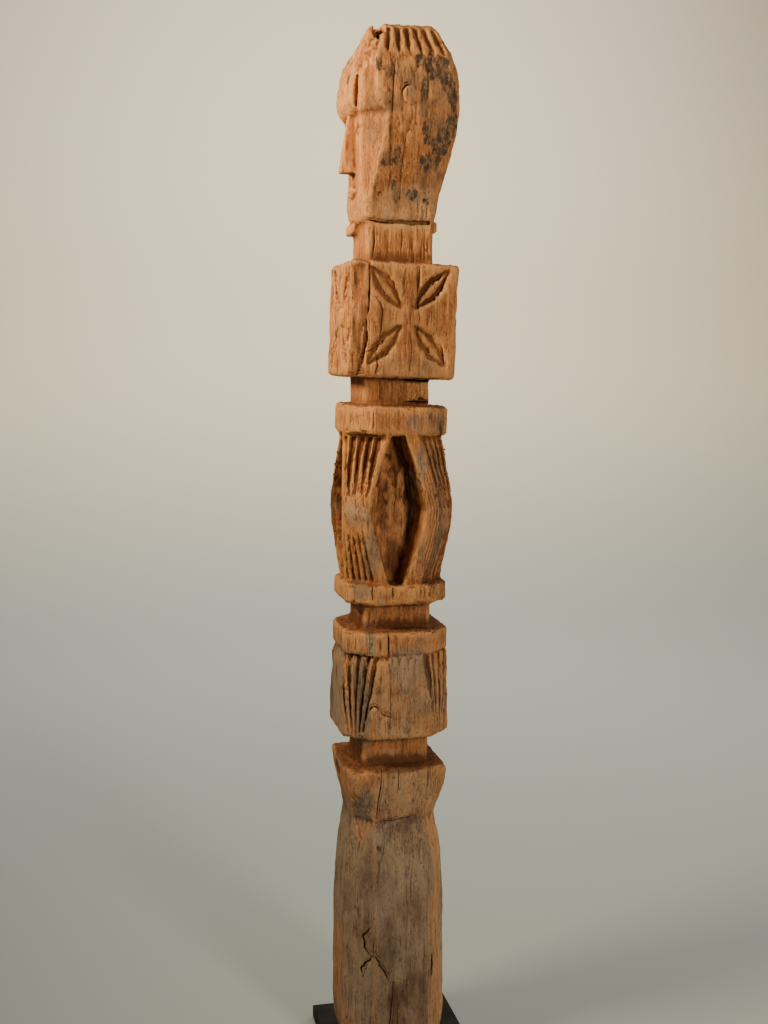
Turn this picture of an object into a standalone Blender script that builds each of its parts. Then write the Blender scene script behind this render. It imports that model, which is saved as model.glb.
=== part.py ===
"""Carved marking post: one weathered hardwood timber, carved as a stack of blocks under a
stylised head, standing on a square black steel plate. Metres, +Z up, the figure faces -Y.
The origin is the centre of the plate's underside."""

import math

import bmesh
import bpy
from mathutils import Matrix, Vector

# Stand plate
PLATE_SIDE = 0.232
PLATE_THICKNESS = 0.020
PLATE_EDGE = 0.0015
FOOT_GAP = 0.0003
POST_X = -0.011  # the post stands a little off the plate's middle
POST_Y = -0.009

# Lengths of the post's stacked members, from the foot up
BASE_LENGTH = 0.4765
BASE_NECK_LENGTH = 0.047
BELL_LENGTH = 0.171
BELL_NECK_LENGTH = 0.040
LOWER_COLLAR_LENGTH = 0.0325
SHEAF_LENGTH = 0.2285
UPPER_COLLAR_LENGTH = 0.045
COLLAR_NECK_LENGTH = 0.042
BOX_LENGTH = 0.172
HEAD_NECK_LENGTH = 0.062
HEAD_LENGTH = 0.286

# Half widths across the flats
FOOT_HALF = 0.0765
BASE_HALF = 0.0845
WAIST_HALF = 0.0673
WAIST_SHARE = 0.814  # its height, as a share of the lower body's
FLARE_HALF = 0.0785
BASE_NECK_HALF = 0.054
BELL_HALF = 0.086
RIM_HALF = 0.083
LOWER_COLLAR_HALF = 0.081
SHEAF_TOP_HALF = 0.0790
SHEAF_MID_HALF = 0.0865
SHEAF_END_HALF = 0.0760
UPPER_COLLAR_HALF = 0.0800
BOX_HALF = 0.083
HEAD_NECK_HALF = 0.052
HEAD_HALF = 0.0866
CHIN_HALF = 0.056
CROWN_HALF = 0.058

# Corner chamfers, as the leg cut from each side
BASE_CHAMFER = 0.0435
WAIST_CHAMFER = 0.0285
COLLAR_CHAMFER = 0.035
NECK_CHAMFER = 0.004
BOX_CHAMFER = 0.003
SHEAF_TOP_CHAMFER = 0.054
SHEAF_MID_CHAMFER = 0.027
SHEAF_END_CHAMFER = 0.046

EDGE = 0.004  # worn round along the blocks' upper and lower edges
BOW = 0.002  # how far the timber bows towards -Y at the bell
BOW_SPAN = 0.13
UPPER_DRIFT = -0.0035  # the necks over the collars stand a little out of line
HEAD_DRIFT = 0.0015
BOX_TILT = math.radians(-1.9)  # the box and the collar under it were carved out of true
COLLAR_TILT = math.radians(-1.6)

# Carving
RIM_BAND = 0.037
RIM_STEP = 0.0025
NICHE_END_HALF = 0.011
NICHE_MID_HALF = 0.0455
NICHE_FLOOR = 0.038
NICHE_TAPER = 0.77
NICHE_SHIFT = -0.006  # each niche sits to one side of its face's middle
CORE_END_RADIUS = 0.028
CORE_MID_RADIUS = 0.046
CORE_SIDES = 12
GROOVES_PER_FAN = 5
UPPER_GROOVE_WIDTH = 0.0135
UPPER_GROOVE_DEPTH = 0.0055
LOWER_GROOVE_WIDTH = 0.0095
LOWER_GROOVE_DEPTH = 0.0060
GROOVE_FLOOR = 0.62  # the flat part of an upper groove, as a share of its width
GROOVE_END_GAP = 0.0030  # between a groove's end and the collar's edge
FLUTE_WIDTH = 0.0105
FLUTE_DEPTH = 0.008
FLUTE_SPREAD = 1.45  # past the corner face, on to the sides next to it
FLUTE_GATHER = 0.28  # how close the flutes' lower ends stand, as a share of their upper ends
LEAF_LENGTH = 0.086
LEAF_WIDTH = 0.034
LEAF_DEPTH = 0.0085
LEAF_STEEPNESS = 1.2
ROSETTE_GAP = 0.012  # from the rosette's centre to its leaves' tips
ROSETTE_SHIFT = 0.0065  # the rosette sits to one side of the box's middle and a little over it
ROSETTE_RISE = 0.0055
HAIR_GROOVES = 8
HAIR_SPREAD = 0.80
HAIR_LENGTH = 0.044
HAIR_WIDTH = 0.009
HAIR_DEPTH = 0.008
EAR_RADIUS = 0.013
EAR_RING = 0.0030
EAR_SINK = 0.0024
EAR_RELIEF = 0.0010
EAR_SHARE = 0.628  # its height, as a share of the head's
EAR_BACK = 0.008  # how far its centre is towards +Y
BAND_WIDTH = 0.015
BAND_RELIEF = 0.0085
BAND_RISE = 0.0015  # how far it laps over the chin
BAND_STUMP = 0.010  # where it ends on the face side
CHIN_SLOT_WIDTH = 0.006
CHIN_SLOT_DEPTH = 0.014
NOTCH_WIDTH = 0.012
NOTCH_DEPTH = 0.017
NOTCH_LENGTH = 0.044
NOTCH_LEAN = math.radians(14)
SPLIT_DEPTH = 0.015
FOREHEAD_SPLIT_DEPTH = 0.030

# The plain face
NOSE_TIP_HALF = 0.020
NOSE_ROOT_HALF = 0.009
NOSE_TIP_FRONT = 0.0830
NOSE_ROOT_FRONT = 0.0690
NOSE_INNER = 0.050
NOSE_TIP_SHARE = 0.26  # heights on the face are shares of the head's
NOSE_ROOT_SHARE = 0.575
EYE_SHARE = 0.47
EYE_ACROSS = 0.0315
EYE_FRONT = 0.0615
EYE_LENGTH = 0.036
EYE_HEIGHT = 0.021
EYE_DEPTH = 0.005
MOUTH_SHARE = 0.165
MOUTH_HALF = 0.024
MOUTH_WIDTH = 0.004
LIPS_LENGTH = 0.052
LIPS_HEIGHT = 0.020
LIPS_FRONT = 0.0665
REACH = 0.006  # how far a cutter stands out of the surface it cuts
OVERLAP = 0.007  # how far a member runs into the next one before they are joined

WOOD_COLOUR = (0.36, 0.20, 0.11, 1.0)
PLATE_COLOUR = (0.012, 0.012, 0.014, 1.0)

SIDES = [Matrix.Rotation(math.radians(90 * turn), 4, "Z") for turn in range(4)]

for old in list(bpy.data.objects):
    bpy.data.objects.remove(old, do_unlink=True)

parts = bpy.data.collections.new("carved_marking_post")
tools = bpy.data.collections.new("cutters")
for collection in (parts, tools):
    bpy.context.scene.collection.children.link(collection)


def levels():
    """The height of each member's lower end, by name, and the crown's."""
    height = PLATE_THICKNESS + FOOT_GAP
    found = {}
    for name, length in (
        ("base", BASE_LENGTH),
        ("base_neck", BASE_NECK_LENGTH),
        ("bell", BELL_LENGTH),
        ("bell_neck", BELL_NECK_LENGTH),
        ("lower_collar", LOWER_COLLAR_LENGTH),
        ("sheaf", SHEAF_LENGTH),
        ("upper_collar", UPPER_COLLAR_LENGTH),
        ("collar_neck", COLLAR_NECK_LENGTH),
        ("box", BOX_LENGTH),
        ("head_neck", HEAD_NECK_LENGTH),
        ("head", HEAD_LENGTH),
    ):
        found[name] = height
        height += length
    found["crown"] = height
    return found


Z = levels()


def material(name, colour, roughness, metallic=0.0):
    made = bpy.data.materials.new(name)
    made.use_nodes = True
    shader = made.node_tree.nodes["Principled BSDF"]
    shader.inputs["Base Color"].default_value = colour
    shader.inputs["Roughness"].default_value = roughness
    shader.inputs["Metallic"].default_value = metallic
    return made


def make_object(name, bm, collection, place=(POST_X, POST_Y, 0)):
    bmesh.ops.recalc_face_normals(bm, faces=bm.faces)
    bmesh.ops.translate(bm, vec=place, verts=bm.verts)
    mesh = bpy.data.meshes.new(name)
    bm.to_mesh(mesh)
    bm.free()
    made = bpy.data.objects.new(name, mesh)
    collection.objects.link(made)
    if collection is tools:
        made.hide_render = True
        made.display_type = "WIRE"
    return made


def bowed(point):
    """The point, moved with the slight bow of the timber."""
    away = (point.z - Z["bell"]) / BOW_SPAN
    return point - Vector((0, BOW * math.exp(-away * away), 0))


def loft(bm, rings):
    """A closed body through rings of equal count, capped at both ends."""
    rows = [[bm.verts.new(bowed(point)) for point in ring] for ring in rings]
    count = len(rows[0])
    for low, high in zip(rows, rows[1:]):
        for i in range(count):
            j = (i + 1) % count
            bm.faces.new((low[i], low[j], high[j], high[i]))
    bm.faces.new(rows[0][::-1])
    bm.faces.new(rows[-1])


def octagon(height, half, chamfer, front=None, front_chamfer=None, tilt=0.0, pivot=0.0):
    """Eight corners of a square with its corners cut off. front is the half width towards -Y."""
    front = half if front is None else front
    cut = chamfer if front_chamfer is None else front_chamfer
    turn = Matrix.Rotation(tilt, 4, "X")
    outline = (
        (half, -front + cut),
        (half, half - chamfer),
        (half - chamfer, half),
        (-half + chamfer, half),
        (-half, half - chamfer),
        (-half, -front + cut),
        (-half + cut, -front),
        (half - cut, -front),
    )
    return [turn @ Vector((x, y, height - pivot)) + Vector((0, 0, pivot)) for x, y in outline]


def block(low, high, half, chamfer, tilt=0.0):
    """The rings of a straight block with its upper and lower edges worn round."""
    pivot = (low + high) / 2
    return [
        octagon(low, half - EDGE, chamfer, tilt=tilt, pivot=pivot),
        octagon(low + EDGE, half, chamfer, tilt=tilt, pivot=pivot),
        octagon(high - EDGE, half, chamfer, tilt=tilt, pivot=pivot),
        octagon(high, half - EDGE, chamfer, tilt=tilt, pivot=pivot),
    ]


def spine(low, high, half, low_drift=0.0, high_drift=0.0):
    """The rings of a square length that runs through several blocks and shows as their necks."""
    return [
        [corner + Vector((0, drift, 0)) for corner in octagon(height, half, NECK_CHAMFER)]
        for height, drift in ((low, low_drift), (high, high_drift))
    ]


def mix(a, b, share):
    return a + (b - a) * share


def base_rings():
    """The lower body: an octagon that narrows to a waist and flares out to a square top.
    Each row is a share of the member's length, half width and chamfer."""
    rows = (
        (0.000, FOOT_HALF, 0.86 * BASE_CHAMFER),
        (0.063, mix(FOOT_HALF, BASE_HALF, 0.70), 0.95 * BASE_CHAMFER),
        (0.137, BASE_HALF, BASE_CHAMFER),
        (0.510, 0.985 * BASE_HALF, 0.98 * BASE_CHAMFER),
        (0.661, mix(WAIST_HALF, BASE_HALF, 0.70), mix(WAIST_CHAMFER, BASE_CHAMFER, 0.70)),
        (0.728, mix(WAIST_HALF, BASE_HALF, 0.44), mix(WAIST_CHAMFER, BASE_CHAMFER, 0.44)),
        (0.779, mix(WAIST_HALF, BASE_HALF, 0.13), mix(WAIST_CHAMFER, BASE_CHAMFER, 0.07)),
        (WAIST_SHARE, WAIST_HALF, WAIST_CHAMFER),
        (0.850, mix(WAIST_HALF, FLARE_HALF, 0.15), 0.70 * WAIST_CHAMFER),
        (0.886, mix(WAIST_HALF, FLARE_HALF, 0.46), 0.46 * WAIST_CHAMFER),
        (0.932, mix(WAIST_HALF, FLARE_HALF, 0.80), 0.25 * WAIST_CHAMFER),
        (0.981, FLARE_HALF, NECK_CHAMFER),
        (0.993, FLARE_HALF, NECK_CHAMFER),
        (1.000, FLARE_HALF - EDGE, NECK_CHAMFER),
    )
    low = Z["base"]
    return [octagon(low + share * BASE_LENGTH, half, chamfer) for share, half, chamfer in rows]


def bell_rings():
    """The bell: slightly wider below, with a plain rim band set off by a step."""
    low, high = Z["bell"], Z["bell_neck"]
    step = high - RIM_BAND
    return [
        octagon(low, BELL_HALF - EDGE, COLLAR_CHAMFER),
        octagon(low + EDGE, BELL_HALF, COLLAR_CHAMFER),
        octagon(mix(low, high, 0.35), BELL_HALF, COLLAR_CHAMFER),
        octagon(step - EDGE, mix(RIM_HALF, BELL_HALF, 0.1), COLLAR_CHAMFER),
        octagon(step, RIM_HALF - RIM_STEP, COLLAR_CHAMFER),
        octagon(step + RIM_STEP, RIM_HALF, COLLAR_CHAMFER),
        octagon(high - EDGE, RIM_HALF, COLLAR_CHAMFER),
        octagon(high, RIM_HALF - EDGE, COLLAR_CHAMFER),
    ]


def bulge(share):
    """0 at the ends of the sheaf and 1 at its middle, for share from 0 to 1."""
    return 1 - abs(2 * share - 1) ** 1.35


def sheaf_section(share):
    """Half width and chamfer of the sheaf at a share of its length."""
    end_half = SHEAF_END_HALF if share < 0.5 else SHEAF_TOP_HALF
    end_cut = SHEAF_END_CHAMFER if share < 0.5 else SHEAF_TOP_CHAMFER
    return mix(end_half, SHEAF_MID_HALF, bulge(share)), mix(end_cut, SHEAF_MID_CHAMFER, bulge(share))


def sheaf_rings(count=8):
    rings = []
    for i in range(count + 1):
        half, cut_leg = sheaf_section(i / count)
        rings.append(octagon(mix(Z["sheaf"], Z["upper_collar"], i / count), half, cut_leg))
    into_lower = octagon(Z["sheaf"] - OVERLAP, SHEAF_END_HALF, SHEAF_END_CHAMFER)
    into_upper = octagon(Z["upper_collar"] + OVERLAP, SHEAF_TOP_HALF, SHEAF_TOP_CHAMFER)
    return [into_lower] + rings + [into_upper]


def head_rows():
    """The head: square at the chin, widest at the temples, with a brow over the face side.
    Each row is a share of the head's length, then its half width, front, front chamfer and back
    chamfer as shares of its widest half width."""
    rows = (
        (0.000, 0.624, 0.624, 0.069, 0.069),
        (0.030, CHIN_HALF / HEAD_HALF, 0.681, 0.092, 0.069),
        (0.110, 0.681, 0.716, 0.139, 0.081),
        (0.210, 0.756, 0.693, 0.208, 0.092),
        (0.330, 0.860, 0.693, 0.300, 0.104),
        (0.450, 0.941, 0.704, 0.370, 0.115),
        (0.545, 0.984, 0.727, 0.416, 0.139),
        (0.568, 0.987, 0.826, 0.439, 0.139),
        (0.615, 1.000, 0.901, 0.439, 0.139),
        (0.700, 0.982, 0.895, 0.416, 0.139),
        (0.780, 0.938, 0.831, 0.370, 0.127),
        (0.850, 0.866, 0.745, 0.300, 0.115),
        (0.910, 0.774, 0.647, 0.231, 0.104),
        (0.975, CROWN_HALF / HEAD_HALF, 0.537, 0.162, 0.092),
        (1.000, 0.600, 0.468, 0.139, 0.092),
    )
    return [(row[0], *(share * HEAD_HALF for share in row[1:])) for row in rows]


def head_height(share):
    return Z["head"] + share * HEAD_LENGTH


def head_at(share):
    """The head's half width and front at a share of its length."""
    rows = head_rows()
    low, high = next(pair for pair in zip(rows, rows[1:]) if share <= pair[1][0])
    step = (share - low[0]) / (high[0] - low[0])
    return mix(low[1], high[1], step), mix(low[2], high[2], step)


def head_rings():
    return [
        octagon(head_height(share), half, back_cut, front, front_cut)
        for share, half, front, front_cut, back_cut in head_rows()
    ]


def members():
    """The rings of each member of the post; neighbours overlap, and are joined."""
    lower_spine = spine(Z["base_neck"] - OVERLAP, Z["lower_collar"] + OVERLAP, BASE_NECK_HALF)
    upper_spine = spine(
        Z["collar_neck"] - OVERLAP, Z["head"] + 2 * OVERLAP, HEAD_NECK_HALF, UPPER_DRIFT, HEAD_DRIFT
    )
    lower_collar = block(Z["lower_collar"], Z["sheaf"], LOWER_COLLAR_HALF, COLLAR_CHAMFER)
    upper_collar = block(
        Z["upper_collar"], Z["collar_neck"], UPPER_COLLAR_HALF, COLLAR_CHAMFER, COLLAR_TILT
    )
    return {
        "lower_spine": lower_spine,
        "bell": bell_rings(),
        "lower_collar": lower_collar,
        "sheaf": sheaf_rings(),
        "upper_collar": upper_collar,
        "upper_spine": upper_spine,
        "box": block(Z["box"], Z["head_neck"], BOX_HALF, BOX_CHAMFER, BOX_TILT),
        "head": head_rings(),
    }


def solid(name, rings, collection):
    bm = bmesh.new()
    loft(bm, rings)
    return make_object(name, bm, collection)


def channel(bm, route, widths, depth, normal, floor=0.0):
    """A cut along a route on a surface: a V, or with a flat floor that is a share of its width."""
    rings = []
    across = (floor, -floor) if floor else (0.0,)
    for i, point in enumerate(route):
        ahead = route[min(i + 1, len(route) - 1)]
        behind = route[max(i - 1, 0)]
        side = normal.cross(ahead - behind).normalized()
        half = widths[i] / 2
        mouth = [point + side * half, point + normal * REACH, point - side * half]
        rings.append(mouth + [point - side * half * share - normal * depth for share in across])
    loft(bm, rings)


def lens(length, width, count=10):
    """A leaf outline with pointed ends, as (along, across) pairs."""
    outline = []
    for i in range(count):
        along = math.cos(2 * math.pi * i / count)
        across = math.copysign(1 - along * along, math.sin(2 * math.pi * i / count))
        outline.append((along * length / 2, across * width / 2))
    return outline


def leaf(bm, centre, along, normal, length, width, depth):
    """A sunk leaf: two broad curved V cuts on either side of a narrow lens-shaped rib."""
    across = normal.cross(along).normalized()
    rings = []
    for scale, height in ((1.0, REACH), (1.0, 0.0005), (0.56, -depth), (0.18, -depth * 0.2)):
        ring = []
        for u, v in lens(length * mix(scale, 1, 0.6), width * scale):
            ring.append(centre + along * u + across * v + normal * height)
        rings.append(ring)
    loft(bm, rings)


def cut(post, tool):
    joint = post.modifiers.new("cut " + tool.name, "BOOLEAN")
    joint.operation = "DIFFERENCE"
    joint.object = tool


def join(post, tool):
    joint = post.modifiers.new("join " + tool.name, "BOOLEAN")
    joint.operation = "UNION"
    joint.object = tool


def niches():
    """One almond niche through each side of the sheaf, narrower towards its floor."""
    bm = bmesh.new()
    low, high = Z["sheaf"] - 0.001, Z["upper_collar"] + 0.001
    shares = [i / 8 for i in range(9)]
    for side in SIDES:
        rings = []
        for depth, scale in ((SHEAF_MID_HALF + REACH, 1.0), (NICHE_FLOOR, NICHE_TAPER)):
            half = [scale * mix(NICHE_END_HALF, NICHE_MID_HALF, bulge(s)) for s in shares]
            right, left = (
                [
                    side @ Vector((depth, NICHE_SHIFT + hand * w, mix(low, high, s)))
                    for s, w in zip(shares, half)
                ]
                for hand in (1, -1)
            )
            rings.append(right + left[::-1])
        loft(bm, rings)
    return make_object("niche_cutter", bm, tools)


def core(count=8):
    """The barrel that shows at the back of the niches."""
    bm = bmesh.new()
    low, high = Z["sheaf"] - OVERLAP, Z["upper_collar"] + OVERLAP
    rings = []
    for i in range(count + 1):
        radius = mix(CORE_END_RADIUS, CORE_MID_RADIUS, bulge(i / count))
        height = mix(low, high, i / count)
        angles = [math.tau * (k + 0.5) / CORE_SIDES for k in range(CORE_SIDES)]
        rings.append([Vector((radius * math.cos(a), radius * math.sin(a), height)) for a in angles])
    loft(bm, rings)
    return make_object("sheaf_core", bm, tools)


def on_corner(half, chamfer, offset, height):
    """A point on the corner face towards (+X, +Y), or past it on the side next to it. The offset
    is from -1 to 1 across the corner face."""
    middle = half - chamfer / 2
    across = offset * chamfer / 2
    return Vector((min(middle - across, half), min(middle + across, half), height))


def sheaf_corner(share, offset):
    half, chamfer = sheaf_section(share)
    return on_corner(half, chamfer, offset, mix(Z["sheaf"], Z["upper_collar"], share))


def groove_fan(bm, side, hand, shares, spans, width, depth, floor):
    """A fan of grooves on one corner bar. It runs between the shares of the sheaf's length, over
    the spans across the bar at its narrow end and at its wide end."""
    normal = side @ Vector((1, 1, 0)).normalized()
    start, end = shares
    for i in range(GROOVES_PER_FAN):
        narrow, wide = (hand * mix(*span, i / (GROOVES_PER_FAN - 1)) for span in spans)
        route, widths = [], []
        for along in (0.0, 0.45, 1.0):
            route.append(side @ sheaf_corner(mix(start, end, along), mix(narrow, wide, along)))
            widths.append(mix(0.45, 1.0, along) * width)
        route[0] += normal * 0.8 * depth
        route[-1].z -= math.copysign(GROOVE_END_GAP, end - start)
        channel(bm, route, widths, depth, normal, floor)


def sheaf_grooves():
    """Broad grooves over the waist of each corner bar, and narrower ones under it. The fans stand
    off the niches of the +X and -X sides, so neighbouring bars mirror each other."""
    bm = bmesh.new()
    above = ((-1.25, 0.90), (-0.98, 0.59))
    below = ((-1.15, 0.50), (-0.95, 0.45))
    for turn, side in enumerate(SIDES):
        hand = -1 if turn % 2 == 0 else 1
        groove_fan(
            bm, side, hand, (0.59, 1.0), above, UPPER_GROOVE_WIDTH, UPPER_GROOVE_DEPTH, GROOVE_FLOOR
        )
        groove_fan(bm, side, hand, (0.43, 0.0), below, LOWER_GROOVE_WIDTH, LOWER_GROOVE_DEPTH, 0.0)
    return make_object("sheaf_groove_cutter", bm, tools)


def rosettes():
    """Four leaves in an X on each side of the box."""
    bm = bmesh.new()
    middle = (Z["box"] + Z["head_neck"]) / 2
    lean = Matrix.Rotation(BOX_TILT, 4, "X")
    for side in SIDES:
        for across, up in ((1, 1), (-1, 1), (-1, -1), (1, -1)):
            along = Vector((0, across, up * LEAF_STEEPNESS)).normalized()
            centre = Vector((BOX_HALF, ROSETTE_SHIFT, ROSETTE_RISE)) + along * (LEAF_LENGTH / 2 + ROSETTE_GAP)
            turn = lean @ side
            place = turn @ centre + Vector((0, 0, middle))
            normal = turn @ Vector((1, 0, 0))
            leaf(bm, place, turn @ along, normal, LEAF_LENGTH, LEAF_WIDTH, LEAF_DEPTH)
    return make_object("leaf_cutter", bm, tools)


def bell_flutes():
    """Flutes that narrow downwards on the bell's four corner faces and run out at its lower edge."""
    bm = bmesh.new()
    low, high = Z["bell"] - REACH, Z["bell_neck"] - RIM_BAND - RIM_STEP
    normal = Vector((1, 1, 0)).normalized()
    for side in SIDES:
        for i in range(GROOVES_PER_FAN):
            offset = mix(-FLUTE_SPREAD, FLUTE_SPREAD, i / (GROOVES_PER_FAN - 1))
            route, widths = [], []
            for share in (0.0, 0.45, 1.0):
                half = mix(BELL_HALF, RIM_HALF, share)
                narrowed = offset * mix(FLUTE_GATHER, 1.0, share)
                route.append(side @ on_corner(half, COLLAR_CHAMFER, narrowed, mix(low, high, share)))
                widths.append(mix(1.2 * FLUTE_GATHER, 1.0, share) * FLUTE_WIDTH)
            channel(bm, route, widths, FLUTE_DEPTH, side @ normal)
    return make_object("bell_flute_cutter", bm, tools)


def hair_grooves():
    """Short upright grooves round the bevel of the crown, spreading downwards with the head."""
    bm = bmesh.new()
    high_share = 1 - REACH / HEAD_LENGTH
    low_share = high_share - HAIR_LENGTH / HEAD_LENGTH
    shares = (low_share, mix(low_share, high_share, 0.5), high_share)
    widths = [share * HAIR_WIDTH for share in (0.6, 1.0, 1.0)]
    for side in SIDES:
        towards_face = turned_to_face(side)
        skipped = 1 if towards_face else 0
        reach = [head_at(share)[1 if towards_face else 0] for share in shares]
        slope = Vector((HAIR_LENGTH, 0, reach[0] - reach[-1])).normalized()
        for i in range(skipped, HAIR_GROOVES - skipped):
            offset = mix(-HAIR_SPREAD, HAIR_SPREAD, i / (HAIR_GROOVES - 1))
            route = [
                Vector((out, offset * head_at(share)[0], head_height(share)))
                for out, share in zip(reach, shares)
            ]
            route[0] += slope * 0.5 * HAIR_DEPTH
            channel(bm, [side @ p for p in route], widths, HAIR_DEPTH, side @ slope)
    return make_object("hair_cutter", bm, tools)


def turned_to_face(side):
    return (side @ Vector((1, 0, 0))).y < -0.5


def ear_discs(name, radius, low, high):
    """A short cylinder on each side of the head, from low to high over its surface."""
    bm = bmesh.new()
    middle = head_at(EAR_SHARE)[0] + (low + high) / 2
    for side in (1, -1):
        place = Matrix.Translation((side * middle, EAR_BACK, head_height(EAR_SHARE)))
        bmesh.ops.create_cone(
            bm,
            cap_ends=True,
            segments=24,
            radius1=radius,
            radius2=radius,
            depth=high - low,
            matrix=place @ Matrix.Rotation(math.radians(90), 4, "Y"),
        )
    return make_object(name, bm, tools)


def nose():
    """A plain straight nose from the brow to a quarter of the head's height."""
    bm = bmesh.new()
    rings = []
    for share, half, front in (
        (NOSE_TIP_SHARE, NOSE_TIP_HALF, NOSE_TIP_FRONT),
        (NOSE_ROOT_SHARE, NOSE_ROOT_HALF, NOSE_ROOT_FRONT),
    ):
        outline = ((half, NOSE_INNER), (0.45 * half, front), (-0.45 * half, front), (-half, NOSE_INNER))
        rings.append([Vector((x, -out, head_height(share))) for x, out in outline])
    loft(bm, rings)
    return make_object("nose", bm, tools)


def lips():
    bm = bmesh.new()
    outline = lens(LIPS_LENGTH, LIPS_HEIGHT)
    middle = head_height(MOUTH_SHARE)
    rings = []
    for depth, scale in ((0.78, 1.0), (0.94, 1.0), (1.0, 0.72)):
        front = -depth * LIPS_FRONT
        rings.append([Vector((u * scale, front, middle + v * scale)) for u, v in outline])
    loft(bm, rings)
    return make_object("lips", bm, tools)


def face_cuts():
    """Almond eyes under the brow and a level mouth line."""
    bm = bmesh.new()
    out = Vector((0, -1, 0))
    level = Vector((1, 0, 0))
    for side in (1, -1):
        centre = Vector((side * EYE_ACROSS, -EYE_FRONT, head_height(EYE_SHARE)))
        leaf(bm, centre, level, out, EYE_LENGTH, EYE_HEIGHT, EYE_DEPTH)
    mouth = [
        Vector((x, 0.001 - LIPS_FRONT, head_height(MOUTH_SHARE))) for x in (-MOUTH_HALF, 0, MOUTH_HALF)
    ]
    channel(bm, mouth, [0.25 * MOUTH_WIDTH, MOUTH_WIDTH, 0.25 * MOUTH_WIDTH], MOUTH_WIDTH, out)
    return make_object("face_cutter", bm, tools)


def neck_band():
    """The raised band under the head, broken away on the +X side and at the face's +X half."""
    bm = bmesh.new()
    high = Z["head"] + BAND_RISE
    inner = HEAD_NECK_HALF - REACH
    outer = HEAD_NECK_HALF + BAND_RELIEF
    outline = (
        (-BAND_STUMP, -inner),
        (-inner, -inner),
        (-inner, inner),
        (inner, inner),
        (inner, outer),
        (-outer, outer),
        (-outer, -outer),
        (-BAND_STUMP, -outer),
    )
    loft(bm, [[Vector((x, y, height)) for x, y in outline] for height in (high - BAND_WIDTH, high)])
    return make_object("neck_band", bm, tools)


def chin_undercut():
    """The dark slot between the head and the neck, deepest on the +X side."""
    bm = bmesh.new()
    level = Z["head"] - 0.0005
    inside = CHIN_HALF - EDGE
    route = [Vector((inside, share * CHIN_HALF, level)) for share in (-0.54, 0.05, 0.85)]
    widths = [share * CHIN_SLOT_WIDTH for share in (0.5, 1.0, 0.83)]
    channel(bm, route, widths, CHIN_SLOT_DEPTH, Vector((1, 0, 0)))
    return make_object("chin_cutter", bm, tools)


def splits():
    """The drying splits that are wide enough to read from a step away. Each row is how far out,
    how far across, how high and how wide a split is at a point of its route."""
    past = 0.002
    waist = Z["base"] + WAIST_SHARE * BASE_LENGTH
    bell_low, bell_high = Z["bell"], Z["bell_neck"]
    box_low, box_high = Z["box"], Z["head_neck"]
    near = (
        (
            (BOX_HALF, -0.052, box_high + past, 0.0040),
            (BOX_HALF, -0.054, mix(box_low, box_high, 0.70), 0.0035),
            (BOX_HALF, -0.060, mix(box_low, box_high, 0.30), 0.0050),
            (BOX_HALF, -0.074, box_low - past, 0.0040),
        ),
        (
            (RIM_HALF, -0.021, bell_high + past, 0.0030),
            (RIM_HALF, -0.021, mix(bell_low, bell_high, 0.50), 0.0030),
            (BELL_HALF, -0.019, mix(bell_low, bell_high, 0.15), 0.0010),
        ),
        (
            (FLARE_HALF, -0.030, Z["base_neck"] + past, 0.0030),
            (mix(WAIST_HALF, FLARE_HALF, 0.55), -0.031, mix(waist, Z["base_neck"], 0.49), 0.0030),
            (WAIST_HALF, -0.037, waist, 0.0010),
        ),
    )
    forehead = (
        (0.0580, -0.0620, head_height(0.80), 0.0030),
        (0.0568, -0.0686, head_height(0.70), 0.0050),
        (0.0565, -0.0695, head_height(0.62), 0.0065),
        (0.0520, -0.0683, head_height(0.575), 0.0040),
    )
    bm = bmesh.new()
    runs = [(rows, SPLIT_DEPTH, Vector((1, 0, 0))) for rows in near]
    runs.append((forehead, FOREHEAD_SPLIT_DEPTH, Vector((1, -1, 0)).normalized()))
    for rows, depth, normal in runs:
        channel(bm, [Vector(row[:3]) for row in rows], [row[3] for row in rows], depth, normal)
    return make_object("split_cutter", bm, tools)


def crown_notch():
    """The break in the crown over the face's +X corner."""
    bm = bmesh.new()
    size = Matrix.Diagonal((NOTCH_LENGTH, NOTCH_WIDTH, 2 * NOTCH_DEPTH, 1))
    turn = Matrix.Rotation(NOTCH_LEAN, 4, "X")
    place = Matrix.Translation((0.69 * CROWN_HALF, -0.59 * CROWN_HALF, Z["crown"] + 0.001))
    bmesh.ops.create_cube(bm, size=1, matrix=place @ turn @ size)
    return make_object("crown_cutter", bm, tools)


def carved_post(wood):
    post = solid("carved_post", base_rings(), parts)
    post.data.materials.append(wood)
    for name, rings in members().items():
        join(post, solid(name, rings, tools))
    cut(post, niches())
    join(post, core())
    join(post, neck_band())
    cut(post, ear_discs("ear_rings", EAR_RADIUS + EAR_RING, -EAR_SINK, REACH))
    join(post, ear_discs("ear_discs", EAR_RADIUS, -2 * EAR_SINK, EAR_RELIEF))
    join(post, nose())
    join(post, lips())
    for tool in (
        sheaf_grooves(),
        rosettes(),
        bell_flutes(),
        hair_grooves(),
        face_cuts(),
        chin_undercut(),
        splits(),
        crown_notch(),
    ):
        cut(post, tool)
    return post


def stand_plate(paint):
    bm = bmesh.new()
    size = Matrix.Diagonal((PLATE_SIDE, PLATE_SIDE, PLATE_THICKNESS, 1))
    bmesh.ops.create_cube(bm, size=1, matrix=Matrix.Translation((0, 0, PLATE_THICKNESS / 2)) @ size)
    plate = make_object("stand_plate", bm, parts, (0, 0, 0))
    plate.data.materials.append(paint)
    edge = plate.modifiers.new("worn edges", "BEVEL")
    edge.width = PLATE_EDGE
    edge.segments = 2
    return plate


carved_post(material("weathered_wood", WOOD_COLOUR, 0.85))
stand_plate(material("black_paint", PLATE_COLOUR, 0.45))
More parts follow.
